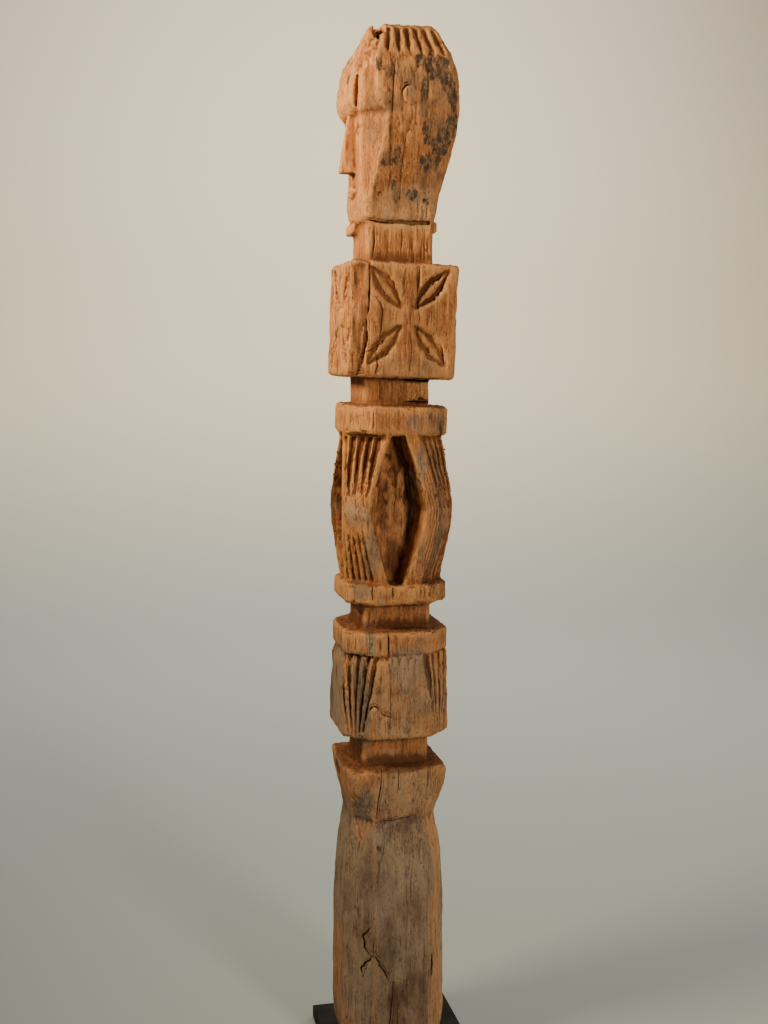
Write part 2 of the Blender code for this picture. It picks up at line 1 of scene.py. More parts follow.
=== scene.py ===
"""Carved marking post: the weathered surface of its timber, the black plate that it stands on,
a plain floor, soft studio light and the camera. Metres, +Z up, the figure faces -Y. Only the tables
of cracks and patches are in millimetres."""

import math

import bpy
import numpy as np
from mathutils import Matrix, Vector


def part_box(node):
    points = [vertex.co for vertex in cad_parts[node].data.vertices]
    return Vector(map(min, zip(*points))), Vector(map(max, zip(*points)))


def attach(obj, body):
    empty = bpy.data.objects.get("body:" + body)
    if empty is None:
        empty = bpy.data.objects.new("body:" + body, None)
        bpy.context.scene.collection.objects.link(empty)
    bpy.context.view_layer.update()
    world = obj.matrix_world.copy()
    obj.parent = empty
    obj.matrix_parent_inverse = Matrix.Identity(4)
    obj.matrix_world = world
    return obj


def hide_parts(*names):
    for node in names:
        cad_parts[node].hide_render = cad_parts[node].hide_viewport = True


for startup in ("Cube", "Light", "Camera"):
    if startup in bpy.data.objects:
        bpy.data.objects.remove(bpy.data.objects[startup], do_unlink=True)

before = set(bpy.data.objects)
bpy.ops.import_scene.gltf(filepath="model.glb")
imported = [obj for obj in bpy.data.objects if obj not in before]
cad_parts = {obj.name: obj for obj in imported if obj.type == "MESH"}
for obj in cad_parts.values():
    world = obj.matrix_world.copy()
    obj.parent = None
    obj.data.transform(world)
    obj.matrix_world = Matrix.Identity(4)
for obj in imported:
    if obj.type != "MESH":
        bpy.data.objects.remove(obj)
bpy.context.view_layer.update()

# The post's upright axis. The back of the head is what reaches furthest towards +Y.
POST_LOW, POST_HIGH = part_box("carved_post")
HEAD_HALF = 0.0866
AXIS = Vector(((POST_LOW.x + POST_HIGH.x) / 2, POST_HIGH.y - HEAD_HALF, 0))

# Heights on the post over the plate's underside, from the foot up
FOOT = POST_LOW.z
CROWN = POST_HIGH.z
WAIST = FOOT + 0.388
FLARE_TOP = FOOT + 0.4765
BELL_LOW = FOOT + 0.5235
BELL_TOP = FOOT + 0.6945
LOWER_COLLAR_LOW = FOOT + 0.7345
SHEAF_LOW = FOOT + 0.767
SHEAF_TOP = FOOT + 0.9955
SHEAF_MIDDLE = (SHEAF_LOW + SHEAF_TOP) / 2
LEDGE_LOW, LEDGE_TOP = 0.875, 0.930
UPPER_COLLAR_TOP = FOOT + 1.0405
BOX_LOW = FOOT + 1.0825
BOX_TOP = FOOT + 1.2545
CHIN = FOOT + 1.3165

# How deep the wear and the cuts go
CHIP_LOSS = 2.6  # in shares of what an even rounding takes off
CORE_HALF = 0.052
CORE_TEAR = 0.0030
CORE_FIBRE = 0.0018
CORE_LEDGE = 0.003
STRIP_TEAR = 0.0016
FURROW_DEPTH = 0.0042
FACE_FIBRE = 0.0012
CROWN_TEAR = 0.0032
FOOT_TEAR = 0.0012
NICHE_GAP = 0.012
RIM_HEIGHT = 0.038
RIM_UNDERCUT = 0.0045
FULL_HOLLOW = 0.0014  # a hollow as deep as this counts as 1 in its mask

# Detail of the mesh
VOXEL = 0.0017
MOST_TRIANGLES = 192000
DEEP_CRACK = 0.006  # from this depth a crack is fully dark
FAR = 4.0  # how many widths from a crack its field runs
REED_PITCH = 0.0046
BAR_LEAN = 0.26  # how far a bar's inner edge moves across for each metre up or down
CRACKS_PER_SPAN = 3
CRACK_FIELDS = 3  # cracks that meet lie in different fields, as the list's order has it

# The four sides of the post: the way each faces, and the way that its places are measured across
SIDES = {
    "near": (Vector((1, 0, 0)), Vector((0, 1, 0))),
    "face": (Vector((0, -1, 0)), Vector((1, 0, 0))),
    "back": (Vector((0, 1, 0)), Vector((-1, 0, 0))),
    "far": (Vector((-1, 0, 0)), Vector((0, -1, 0))),
}


def smoothstep(low, high, value):
    share = np.clip((value - low) / (high - low), 0, 1)
    return share * share * (3 - 2 * share)


def lattice(corner, seed):
    """A repeatable value from -1 to 1 for each whole-numbered corner."""
    with np.errstate(over="ignore"):
        x, y, z = (corner[:, axis].astype(np.uint32) for axis in range(3))
        mixed = x * np.uint32(374761393) + y * np.uint32(668265263) + z * np.uint32(2246822519)
        mixed = mixed + np.uint32(seed) * np.uint32(3266489917)
        mixed = (mixed ^ (mixed >> np.uint32(13))) * np.uint32(1274126177)
        mixed = mixed ^ (mixed >> np.uint32(16))
    return (mixed & np.uint32(0xFFFF)).astype(np.float32) / 32767.5 - 1.0


def noise(places, pitch, seed, octaves=2, along=1.0):
    """Soft value noise from about -1 to 1. The pitch is in metres, and along stretches it upwards."""
    total = np.zeros(len(places), np.float32)
    for octave in range(octaves):
        scaled = places * (2**octave / pitch) * np.array((1, 1, 1 / along))
        base = np.floor(scaled)
        share = scaled - base
        share = (share * share * (3 - 2 * share)).astype(np.float32)
        base = base.astype(np.int64)
        value = np.zeros(len(places), np.float32)
        for dx in (0, 1):
            for dy in (0, 1):
                for dz in (0, 1):
                    weight = share[:, 0] if dx else 1 - share[:, 0]
                    weight = weight * (share[:, 1] if dy else 1 - share[:, 1])
                    weight = weight * (share[:, 2] if dz else 1 - share[:, 2])
                    value += weight * lattice(base + (dx, dy, dz), seed + octave)
        total += value / 2**octave
    return total


class Surface:
    """The timber's surface while it is being worked: its points, normals and neighbours."""

    def __init__(self, mesh):
        self.mesh = mesh
        count = len(mesh.vertices)
        self.co = np.empty(count * 3, np.float32)
        mesh.vertices.foreach_get("co", self.co)
        self.co = self.co.reshape(-1, 3)
        links = np.empty(len(mesh.edges) * 2, np.int32)
        mesh.edges.foreach_get("vertices", links)
        links = links.reshape(-1, 2)
        self.start = np.concatenate((links[:, 0], links[:, 1]))
        self.end = np.concatenate((links[:, 1], links[:, 0]))
        self.valence = np.maximum(np.bincount(self.start, minlength=count), 1)[:, None]
        self.read_normals()

    def read_normals(self):
        self.mesh.vertices.foreach_set("co", self.co.ravel())
        self.mesh.update()
        normal = np.empty(len(self.co) * 3, np.float32)
        self.mesh.vertex_normals.foreach_get("vector", normal)
        self.normal = normal.reshape(-1, 3)

    def average(self, values):
        """Each point's mean of its neighbours' values."""
        columns = [
            np.bincount(self.start, weights=values[self.end, axis], minlength=len(values))
            for axis in range(values.shape[1])
        ]
        return (np.stack(columns, 1) / self.valence).astype(np.float32)

    def smoothed(self, rounds):
        soft = self.co.copy()
        for _ in range(rounds):
            soft = soft + 0.6 * (self.average(soft) - soft)
        return soft

    def side(self, name):
        """How squarely each point faces that way, and its place across that side."""
        out, across = SIDES[name]
        return self.normal @ np.array(out), (self.co - np.array(AXIS)) @ np.array(across)


def near_path(surface, side, path, margin):
    """For the points near a path on a side: their indices, signed distance and share along it."""
    facing, across = surface.side(side)
    height = surface.co[:, 2]
    heights = [z for _, z in path]
    widths = [u for u, _ in path]
    chosen = (facing > 0.3) & (height > min(heights) - margin) & (height < max(heights) + margin)
    chosen &= (across > min(widths) - margin) & (across < max(widths) + margin)
    index = np.nonzero(chosen)[0]
    u, z = across[index], height[index]
    best = np.full(len(index), 1.0)
    place = np.zeros(len(index))
    lengths = [math.dist(a, b) for a, b in zip(path, path[1:])]
    done = 0.0
    for (a, b), length in zip(zip(path, path[1:]), lengths):
        du, dz = (b[0] - a[0]) / length, (b[1] - a[1]) / length
        share = np.clip((u - a[0]) * du + (z - a[1]) * dz, 0, length)
        gap_u, gap_z = u - a[0] - share * du, z - a[1] - share * dz
        distance = np.hypot(gap_u, gap_z)
        turned = np.where(gap_u * dz - gap_z * du < 0, -1.0, 1.0)
        closer = distance < np.abs(best)
        best = np.where(closer, distance * turned, best)
        place = np.where(closer, (done + share) / sum(lengths), place)
        done += length
    return index, best, place


# Cracks, and a few grooves darkened as painted shadow lines, in millimetres: side, half width, depth, and
# the places (across, height) on the way
CRACKS_AND_SHADOW_LINES = [
    ("near", 0.9, 3, ((-16, 1567), (-18, 1542), (-20, 1513), (-21, 1476))),
    ("near", 0.7, 2, ((-23, 1476), (-22, 1444), (-19, 1402), (-21, 1372))),
    ("near", 0.7, 2, ((2, 1472), (0, 1438), (-3, 1407), (-2, 1352))),
    ("near", 0.6, 1, ((22, 1455), (21, 1428), (23, 1398))),
    ("near", 1.2, 4, ((-40, 1331), (-39, 1306), (-42, 1284))),
    ("near", 0.8, 3, ((2, 1332), (4, 1310), (1, 1288))),
    ("near", 0.6, 2, ((-18, 1325), (-19, 1300), (-17, 1282))),
    ("near", 0.6, 2, ((28, 1330), (29, 1305))),
    ("near", 1.2, 5, ((-52, 1276), (-53, 1219), (-55, 1196))),
    # Painted shadow: the dark line under the chin, cut and darkened like a crack
    ("near", 1.2, 4, ((-58, 1339), (-30, 1335.2), (-4, 1333.5))),
    # Painted shadow: the dark arc at the ear disc's upper left, cut and darkened like a crack
    ("near", 1.8, 4, ((-6.5, 1516), (-4.6, 1523.5), (0.8, 1528.6), (8, 1530.5))),
    ("near", 4, 13, ((-41, 1612), (-37, 1604), (-36, 1597))),
    ("near", 1, 3, ((-49, 1229), (-36, 1213), (-33, 1204), (-35, 1174), (-41, 1150))),
    ("near", 0.9, 3, ((-41, 1150), (-52, 1144), (-66, 1139))),
    ("near", 1.1, 3, ((-41, 1139), (-40, 1122), (-45, 1106))),
    ("near", 0.6, 2, ((3, 1276), (0, 1246), (-1, 1219))),
    ("near", 0.8, 3, ((24, 1277), (21, 1234), (23, 1190), (20, 1161))),
    ("near", 0.7, 2, ((8, 1169), (13, 1150), (11, 1128), (8, 1108))),
    ("near", 0.8, 3, ((-46, 1061), (-45, 1040), (-46, 1017))),
    ("near", 0.5, 1, ((-8, 1056), (-6, 1032), (-9, 1018))),
    ("near", 0.6, 1, ((18, 1058), (19, 1028))),
    ("near", 0.6, 1, ((40, 1057), (39, 1020))),
    # Painted shadow: dark lines just under the box and just above the upper collar, cut and darkened like
    # cracks
    ("near", 2.2, 7, ((6, 1100.5), (30, 1099.5), (53, 1098.5))),
    ("near", 1.6, 5, ((10, 1067.5), (34, 1066.5), (53, 1066))),
    ("near", 0.8, 2, ((-30, 1100), (-29, 1082), (-31, 1064))),
    ("near", 1.2, 4, ((-44, 789), (-46, 778), (-45, 764))),
    ("near", 1, 4, ((-13, 790), (-14, 777), (-13, 764))),
    ("near", 0.7, 2, ((30, 788), (31, 764))),
    ("near", 1.1, 5, ((-21, 716), (-20, 675))),
    ("near", 0.7, 2, ((-20, 675), (-18, 630), (-17, 585), (-21, 548))),
    ("near", 1.2, 4, ((-53, 589), (-48, 598), (-42, 600), (-36, 594))),
    ("near", 1, 3, ((-34, 591), (-29, 585), (-20, 582), (-14, 580))),
    ("near", 1, 4, ((-29, 497), (-30, 470), (-33, 440), (-36, 404))),
    ("near", 0.7, 3, ((-3, 496), (-2, 474), (-3, 452))),
    ("near", 0.9, 3, ((45, 494), (46, 476), (45, 462))),
    ("near", 0.7, 2, ((-28, 410), (-12, 407), (6, 410), (30, 414))),
    ("near", 0.5, 1, ((-20, 372), (-33, 340), (-34, 318), (-51, 296), (-56, 276))),
    ("near", 1.6, 6, ((-46, 240), (-50, 229), (-56, 221.5), (-53, 211), (-54, 202), (-45, 191))),
    ("near", 2, 7, ((-45, 191), (-46, 184), (-52, 178), (-53, 173), (-58, 166), (-56, 155))),
    ("near", 1.4, 5, ((-45, 191), (-38, 190), (-33, 181), (-32, 176), (-26, 168), (-17, 150))),
    ("near", 0.9, 3, ((-41, 222), (-42, 206), (-41, 191))),
    ("near", 1, 3, ((-10, 158), (-11, 120), (-15, 80), (-16, 24))),
    ("near", 0.8, 2, ((-2, 110), (-3, 70), (-4, 24))),
    ("near", 2.2, 6, ((58, 181), (59, 160), (57, 137))),
    ("near", 0.6, 1, ((40, 250), (41, 170), (40, 80))),
    ("near", 0.6, 1, ((-53, 140), (-54, 110), (-52, 75))),
    ("face", 2, 8, ((-48, 1268), (-44, 1235), (-50, 1190), (-46, 1150), (-51, 1108))),
    ("face", 2.4, 8, ((-12, 1245), (-16, 1214), (-10, 1180), (-14, 1140))),
    ("face", 2, 7, ((20, 1216), (26, 1196), (22, 1168), (27, 1140))),
    ("face", 1.6, 6, ((46, 1262), (50, 1220), (44, 1190))),
    ("face", 1.4, 5, ((58, 1170), (56, 1140), (60, 1112))),
    ("face", 3, 6, ((-4, 330), (-6, 316), (-3, 300))),
    ("face", 3.4, 7, ((-4, 170), (-1, 130), (-3, 86), (-1, 60))),
]


def known_cracks():
    """The listed cracks, in metres."""
    return [
        (side, width / 1000, depth / 1000, tuple((across / 1000, height / 1000) for across, height in path))
        for side, width, depth, path in CRACKS_AND_SHADOW_LINES
    ]


def chance_cracks():
    """Fine drying cracks on the sides that the known ones leave bare, from a fixed seed."""
    draw = np.random.default_rng(41)
    spans = ((FOOT, WAIST), (WAIST, FLARE_TOP), (BELL_LOW, BELL_TOP), (BOX_LOW, BOX_TOP), (CHIN, CROWN))
    made = []
    for side in ("back", "far"):
        for low, high in spans:
            for _ in range(CRACKS_PER_SPAN):
                across = draw.uniform(-0.05, 0.05)
                length = draw.uniform(0.3, 0.8) * (high - low)
                start = draw.uniform(low, high - length)
                path = [(across, start)]
                for step in range(3):
                    across += draw.normal(0, 0.0022)
                    path.append((across, start + length * (step + 1) / 3))
                width = draw.uniform(0.0006, 0.0014)
                made.append((side, width, 3 * width, tuple(path)))
    return made


def crack_places(surface, act, chosen=slice(None)):
    """Calls act with the points near each crack, their distance in crack widths, and its depth."""
    for side, width, depth, path in (known_cracks() + chance_cracks())[chosen]:
        index, distance, place = near_path(surface, side, path, FAR * width + 0.002)
        ragged = 1 + 0.35 * noise(surface.co[index], 0.004, 7, 1)
        taper = np.sqrt(np.clip(np.sin(np.pi * np.clip(place, 0.02, 0.98)), 0.05, 1))
        act(index, distance, width * taper * ragged, depth * taper, side)


def open_cracks(surface):
    """Sinks the surface along the cracks."""
    narrowest = 0.9 * VOXEL

    def sink(index, distance, width, depth, side):
        wide = np.maximum(width, narrowest)
        share = np.abs(distance) / wide
        fall = np.clip(1 - share * share, 0, 1) * depth * width / wide
        surface.co[index] -= (fall[:, None] * np.array(SIDES[side][0])).astype(np.float32)

    crack_places(surface, sink)


def crack_field(surface, chosen):
    """The signed distance to the nearest chosen crack in its widths, and how dark that crack is."""
    signed = np.full(len(surface.co), FAR, np.float32)
    strength = np.zeros(len(surface.co), np.float32)

    def mark(index, distance, width, depth, side):
        ratio = np.clip(distance / width, -FAR, FAR)
        closer = np.abs(ratio) < np.abs(signed[index])
        signed[index] = np.where(closer, ratio, signed[index])
        dark = np.clip(0.35 + depth / DEEP_CRACK, 0, 1) * smoothstep(0.0052, 0.0036, np.abs(distance))
        strength[index] = np.where(closer, dark, strength[index])

    crack_places(surface, mark, chosen)
    return signed, strength


# Patches, in millimetres: side, across, height, half width, half height, and the strength where it
# isn't 1. First the dark stains.
STAINS = [
    ("near", 40, 1566, 26, 11),
    ("near", 52, 1548, 18, 10),
    ("near", 62, 1536, 9, 10),
    ("near", 24, 1569, 10, 6),
    ("near", 28, 1517, 6, 10),
    ("near", 71, 1512, 8, 22),
    ("near", 72, 1478, 10, 22),
    ("near", 60, 1453, 13, 12),
    ("near", 55, 1440, 10, 10),
    ("near", 40, 1422, 14, 13),
    ("near", 36, 1452, 8, 6),
    ("near", 31, 1470, 5, 5),
    ("near", -9, 1432, 4, 13),
    ("near", -22, 1420, 12, 5),
    ("near", -13, 1386, 4, 11),
    ("near", 18, 1376, 10, 7),
    ("near", 36, 1367, 10, 4),
    ("near", -40, 1560, 4, 12),
    ("near", -34, 1378, 3, 4),
    ("near", 66, 1020, 6, 10),
    ("near", -30, 367, 8, 6),
    ("back", 45, 1520, 20, 26),
    ("back", 10, 1452, 18, 14),
    ("back", -30, 1560, 16, 12),
    ("back", -30, 1180, 14, 20),
    ("back", 20, 620, 24, 10),
    ("back", -40, 460, 18, 12),
    ("far", -40, 1540, 18, 14),
    ("far", -60, 1480, 10, 26),
    ("far", 20, 1400, 12, 10),
    ("far", 10, 1150, 16, 18),
    ("far", -20, 640, 18, 12),
    ("far", 30, 450, 16, 14),
    ("face", 30, 1545, 10, 8),
    ("face", -30, 470, 20, 10),
]
# Softer, smoky patches round the stains
HAZED = [
    ("near", 8, 618, 20, 6),
    ("near", 32, 598, 20, 16),
    ("near", 40, 632, 6, 16),
    ("near", 9, 560, 6, 6),
    ("near", -55, 580, 8, 10),
    ("near", -60, 470, 16, 10, 0.6),
    ("near", -50, 446, 16, 16, 0.5),
    ("near", 10, 1516, 12, 10, 0.5),
    ("near", -60, 640, 10, 50, 0.7),
    ("near", 30, 1500, 16, 12, 0.7),
    ("near", 20, 1540, 30, 16, 0.7),
    ("near", 50, 1470, 20, 30, 0.8),
    ("near", 55, 1520, 16, 30, 0.8),
    ("near", 40, 1400, 24, 20, 0.6),
    ("near", -30, 1505, 26, 18, 0.7),
    ("near", -45, 1470, 10, 30, 0.6),
    ("near", -20, 1425, 20, 14, 0.7),
    ("near", -20, 1550, 12, 20, 0.6),
    ("near", -6, 1376, 16, 14, 0.6),
    ("near", 26, 1372, 20, 8, 0.7),
    ("near", 66, 1036, 8, 20, 0.7),
    ("near", 34, 985, 6, 18, 0.6),
    ("near", 30, 750, 20, 12, 0.5),
    ("back", 40, 1500, 30, 40, 0.6),
    ("far", -50, 1500, 24, 40, 0.6),
    ("back", 20, 610, 40, 12, 0.6),
    ("far", -20, 630, 36, 12, 0.6),
]
# Where the timber is bleached to grey
GREYED = [
    ("near", -22, 150, 68, 180),
    ("near", -6, 310, 58, 90),
    ("near", 10, 392, 40, 20, 0.8),
    ("near", -55, 430, 14, 34, 0.5),
    ("near", 0, 445, 80, 60, 0.16),
    ("near", 0, 890, 30, 100, 0.20),
    ("face", 0, 620, 90, 70, 0.50),
    ("near", 10, 660, 30, 30, 0.5),
    ("near", 0, 590, 60, 60, 0.12),
    ("near", 46, 900, 26, 100, 0.42),
    ("near", 30, 960, 12, 40, 0.6),
    ("near", -66, 896, 24, 18, 0.42),
    ("near", -46, 840, 12, 40, 0.5),
    ("near", -48, 700, 6, 24),
    ("near", 10, 1120, 50, 20, 0.35),
    ("near", 36, 1036, 36, 18, 0.4),
    ("near", -60, 778, 12, 14, 0.7),
    ("near", 12, 1512, 14, 14, 0.5),
    ("near", -60, 600, 10, 60, 0.7),
    ("face", 0, 240, 80, 170),
    ("back", 14, 220, 54, 170),
    ("far", 0, 220, 80, 170),
    ("back", 10, 600, 60, 30, 0.5),
    ("far", 20, 1130, 50, 30, 0.5),
    ("back", -20, 1120, 50, 30, 0.5),
]
# Where the fresh, warm colour of the timber shows, and a little painted light on the lower body's right
# strip
ORANGE = [
    ("near", -58, 386, 9, 18, 0.5),
    ("face", 24, 215, 14, 26, 0.62),
    ("face", 40, 60, 20, 50, 0.45),
    # Painted light: the lower body's right strip
    ("near", 66, 200, 10, 190, 0.20),
    ("near", 58, 410, 14, 34),
    ("near", 40, 500, 40, 6),
    ("near", 42, 905, 10, 90),
    ("near", -70, 980, 20, 40),
    ("near", 0, 520, 50, 10),
    ("near", 0, 1500, 80, 20),
    ("near", 0, 1310, 50, 30),
    ("near", -45, 1090, 10, 30),
    ("face", 0, 1450, 50, 80),
    ("face", 0, 140, 30, 80),
]
# Dark places: damp-looking stains, and painted shade at the ends of the necks beside the overhangs, at the
# niche's deep ends, over the box's near face and on the far-left bar
DAMP_AND_SHADE = [
    # Painted shade: dark bands at the foot and top of the necks, beside the overhangs
    ("near", 0, 500, 56, 12),
    ("near", 0, 721, 56, 8),
    ("near", 0, 1284, 54, 8, 0.8),
    ("near", 30, 1066, 24, 4),
    ("near", 30, 1100, 26, 4),
    # Damp stains
    ("near", -10, 90, 10, 60, 0.7),
    ("near", 20, 110, 30, 50, 0.40),
    # Painted shade: the box's near face dimmed
    ("near", 6, 1190, 50, 60, 0.33),
    # Damp stains
    ("near", 18, 270, 22, 32, 0.35),
    ("near", -52, 1530, 8, 30, 0.5),
    ("near", -36, 1500, 20, 10, 0.45),
    # Painted shade: the deep top and bottom ends of the niche
    ("near", 0, 980, 12, 22),
    ("near", 0, 815, 12, 22),
    # Painted shadow: the far-left bar darkened as if in shade; then the same painted neck bands on the
    # other sides
    ("face", -62, 900, 30, 120, 1.2),
    ("face", 0, 500, 56, 12),
    ("back", 0, 500, 56, 12),
    ("far", 0, 500, 56, 12),
    ("face", 0, 721, 56, 8),
    ("back", 0, 721, 56, 8),
    ("far", 0, 721, 56, 8),
]
# Pale dust in the grain, and painted light on the lower body's two side strips
DUSTED_AND_LIT = [
    # Painted light: the lower body's right strip lightened
    ("near", 66, 200, 18, 220),
    ("near", 56, 400, 18, 50, 0.8),
    ("near", 20, 350, 40, 50, 0.4),
    ("near", 24, 260, 36, 90, 0.3),
    # Painted light: the lower body's left strip lightened
    ("near", -66, 220, 10, 200, 0.3),
    ("near", 10, 450, 50, 40, 0.8),
    ("near", 0, 600, 60, 60, 0.5),
    ("near", 10, 1356, 50, 34, 0.7),
    ("near", 0, 500, 50, 20, 0.5),
    ("face", 0, 240, 60, 200, 0.3),
    ("back", 0, 240, 60, 200, 0.3),
    ("far", 0, 240, 60, 200, 0.3),
]
# The bar with fine reeding, on its two outer faces
REEDED = [
    ("near", 56, 940, 20, 56),
    ("near", 56, 824, 20, 52),
    ("back", -56, 940, 20, 56),
    ("back", -56, 824, 20, 52),
]
DEEPEST_LEAF = ("near", 43, 1236, 26, 32)
# Where the hollows are darkest: dirt, and painted shade in the deep grooves
SOILED_AND_SHADED = [
    ("near", -56, 955, 34, 50),
    ("face", 56, 955, 34, 50),
    ("near", -62, 630, 30, 60),
    ("face", 62, 630, 30, 60),
    DEEPEST_LEAF,
    ("near", 10, 1590, 60, 26, 0.8),
    ("near", 70, 655, 18, 30, 0.8),
    ("near", -60, 1600, 30, 20),
    ("back", 0, 950, 80, 60, 0.8),
    ("far", 0, 950, 80, 60, 0.8),
    ("back", 0, 1590, 60, 26, 0.8),
    ("far", 0, 1590, 60, 26, 0.8),
]
# The masks that the patches make
PATCHES = {
    "stain": STAINS,
    "greyed": GREYED,
    "orange": ORANGE,
    "damp_and_shade": DAMP_AND_SHADE,
    "soiled_and_shaded": SOILED_AND_SHADED,
    "dusted_and_lit": DUSTED_AND_LIT,
    "reeded": REEDED,
}


def patches(surface, listed):
    """1 at the middle of each patch and 0 from its edge outwards."""
    found = np.zeros(len(surface.co), np.float32)
    for side, *sizes in listed:
        facing, place = surface.side(side)
        across, height, half_width, half_height = (size / 1000 for size in sizes[:4])
        away = ((place - across) / half_width) ** 2 + ((surface.co[:, 2] - height) / half_height) ** 2
        amount = sizes[4] if len(sizes) > 4 else 1
        found = np.maximum(found, amount * np.clip(1.6 - away, 0, 1) * (facing > 0.15))
    return found


def height_band(surface, low, high, fade=0.004):
    """1 between two heights, easing to 0 outside them."""
    z = surface.co[:, 2]
    return smoothstep(low - fade, low + fade, z) * (1 - smoothstep(high - fade, high + fade, z))


def reed_places(surface):
    """How far each point of the sheaf lies across the reeding, which runs beside a bar's inner edge."""
    middle = np.abs(surface.co - np.array(AXIS))
    turned = np.abs(surface.normal)
    across = np.where(turned[:, 0] > turned[:, 1], middle[:, 1], middle[:, 0])
    return across + BAR_LEAN * np.abs(surface.co[:, 2] - SHEAF_MIDDLE)


def wear_edges(surface):
    """Rounds the arrises unevenly, and breaks chips out of them."""
    soft = surface.smoothed(9)
    off = ((soft - surface.co) * surface.normal).sum(1)
    amount = 0.55 + 0.45 * noise(surface.co, 0.022, 11, 3)
    middle = np.abs(surface.co - np.array(AXIS))
    leaves = height_band(surface, BOX_LOW + 0.008, BOX_TOP - 0.008)
    leaves = leaves * smoothstep(0.066, 0.060, middle[:, :2].min(1))
    chips = smoothstep(0.15, 0.75, noise(surface.co, 0.011, 23, 2)) * CHIP_LOSS * (1 - 0.85 * leaves)
    ends = (
        height_band(surface, LOWER_COLLAR_LOW - 0.002, SHEAF_LOW + 0.002)
        + height_band(surface, SHEAF_TOP - 0.002, UPPER_COLLAR_TOP + 0.002)
        + height_band(surface, BELL_TOP - 0.006, BELL_TOP + 0.002)
        + height_band(surface, FLARE_TOP - 0.008, FLARE_TOP + 0.002)
    )
    loss = np.minimum(off, 0) * (np.clip(amount, 0.1, 1.0) + chips * (1 + ends))
    surface.co += (loss[:, None] * surface.normal).astype(np.float32)


def rough_places(surface):
    """The parts that are more broken than the rest: lumps and torn fibres."""
    co, normal = surface.co, surface.normal
    near, across = surface.side("near")
    face = surface.side("face")[0]
    middle = co - np.array(AXIS)
    inside = np.maximum(np.abs(middle[:, 0]), np.abs(middle[:, 1])) < CORE_HALF
    core = height_band(surface, SHEAF_LOW + 0.02, SHEAF_TOP - 0.02, 0.01) * inside
    ledge = smoothstep(0.012, 0.004, np.abs(across + 0.012))
    ledge = ledge * height_band(surface, LEDGE_LOW, LEDGE_TOP, 0.008)
    fibres = CORE_TEAR * noise(co, 0.014, 71, 3, 2.2) + CORE_FIBRE * noise(co, 0.005, 73, 1, 2.0)
    torn_core = core * (fibres + CORE_LEDGE * ledge)
    box = height_band(surface, BOX_LOW + 0.004, BOX_TOP - 0.004)
    strip = box * (near > 0.6) * smoothstep(-0.056, -0.062, across)
    torn_strip = strip * STRIP_TEAR * (noise(co, 0.012, 79, 2, 4.0) - 1)
    furrows = 1 - np.abs(noise(co, 0.014, 83, 2, 5.0)) * 3.5
    torn = FACE_FIBRE * noise(co, 0.008, 89, 2, 4.0) - FURROW_DEPTH * np.clip(furrows, 0, 1)
    torn_face = box * (face > 0.6) * torn
    crown = height_band(surface, CROWN - 0.075, CROWN + 0.01, 0.012)
    front = smoothstep(0.028, 0.040, -middle[:, 1])
    torn_crown = crown * front * (CROWN_TEAR * noise(co, 0.015, 97, 3, 1.6) - 0.001)
    low = height_band(surface, FOOT - 0.01, FOOT + 0.05, 0.03)
    torn_low = low * FOOT_TEAR * noise(co, 0.007, 101, 2, 6.0)
    total = torn_core + torn_strip + torn_face + torn_crown + torn_low
    surface.co += (total[:, None] * normal).astype(np.float32)


def part_core(surface):
    """Cuts a deep gap between the core and the bar on its +Y side, in the niches of +X and -X."""
    middle = surface.co - np.array(AXIS)
    for way in (1, -1):
        out, side = way * middle[:, 0], way * middle[:, 1]
        deep = smoothstep(0.064, 0.054, out) * (out > 0.02)
        gap = smoothstep(0.010, 0.026, side) * smoothstep(0.048, 0.040, side)
        ends = height_band(surface, SHEAF_LOW + 0.006, SHEAF_TOP - 0.006, 0.006)
        surface.co[:, 0] -= (way * NICHE_GAP * deep * gap * ends).astype(np.float32)


def deepen_grooves(surface):
    """Cuts the sheaf's upper grooves and the deepest leaf further in, and the face's forms crisper."""
    soft = surface.smoothed(24)
    off = ((soft - surface.co) * surface.normal).sum(1)
    sunk = np.clip(off + 0.0007, 0, 0.004)
    middle = surface.co - np.array(AXIS)
    skin = smoothstep(0.058, 0.066, np.hypot(middle[:, 0], middle[:, 1]))
    band = height_band(surface, SHEAF_MIDDLE, SHEAF_TOP - 0.006)
    leaf = np.minimum(patches(surface, [DEEPEST_LEAF]), 1)
    fall = sunk * (1.1 * skin * band + 1.2 * leaf)
    face = smoothstep(0.2, 0.6, surface.side("face")[0])
    face = face * height_band(surface, CHIN + 0.01, CHIN + 0.17, 0.01)
    fall += 0.7 * np.clip(off, -0.003, 0.003) * face
    surface.co -= (fall[:, None] * surface.normal).astype(np.float32)


def deepen_bell(surface):
    """Cuts the bell back under its rim on the face side, so that the rim overhangs there."""
    step = BELL_TOP - RIM_HEIGHT
    level = surface.co[:, 2]
    under = smoothstep(step - 0.020, step - 0.002, level) * (level < step + 0.0006)
    middle = surface.co - np.array(AXIS)
    side = smoothstep(-0.018, -0.026, middle[:, 1])
    ragged = 1 + 0.4 * noise(surface.co, 0.010, 103, 2)
    inward = -RIM_UNDERCUT * under * side * ragged
    out = middle / np.maximum(np.hypot(middle[:, 0], middle[:, 1]), 0.01)[:, None]
    out[:, 2] = 0
    surface.co += (inward[:, None] * out).astype(np.float32)


def keep_foot(surface):
    """The foot stays flat, just clear of the plate."""
    surface.co[:, 2] = np.maximum(surface.co[:, 2], FOOT)


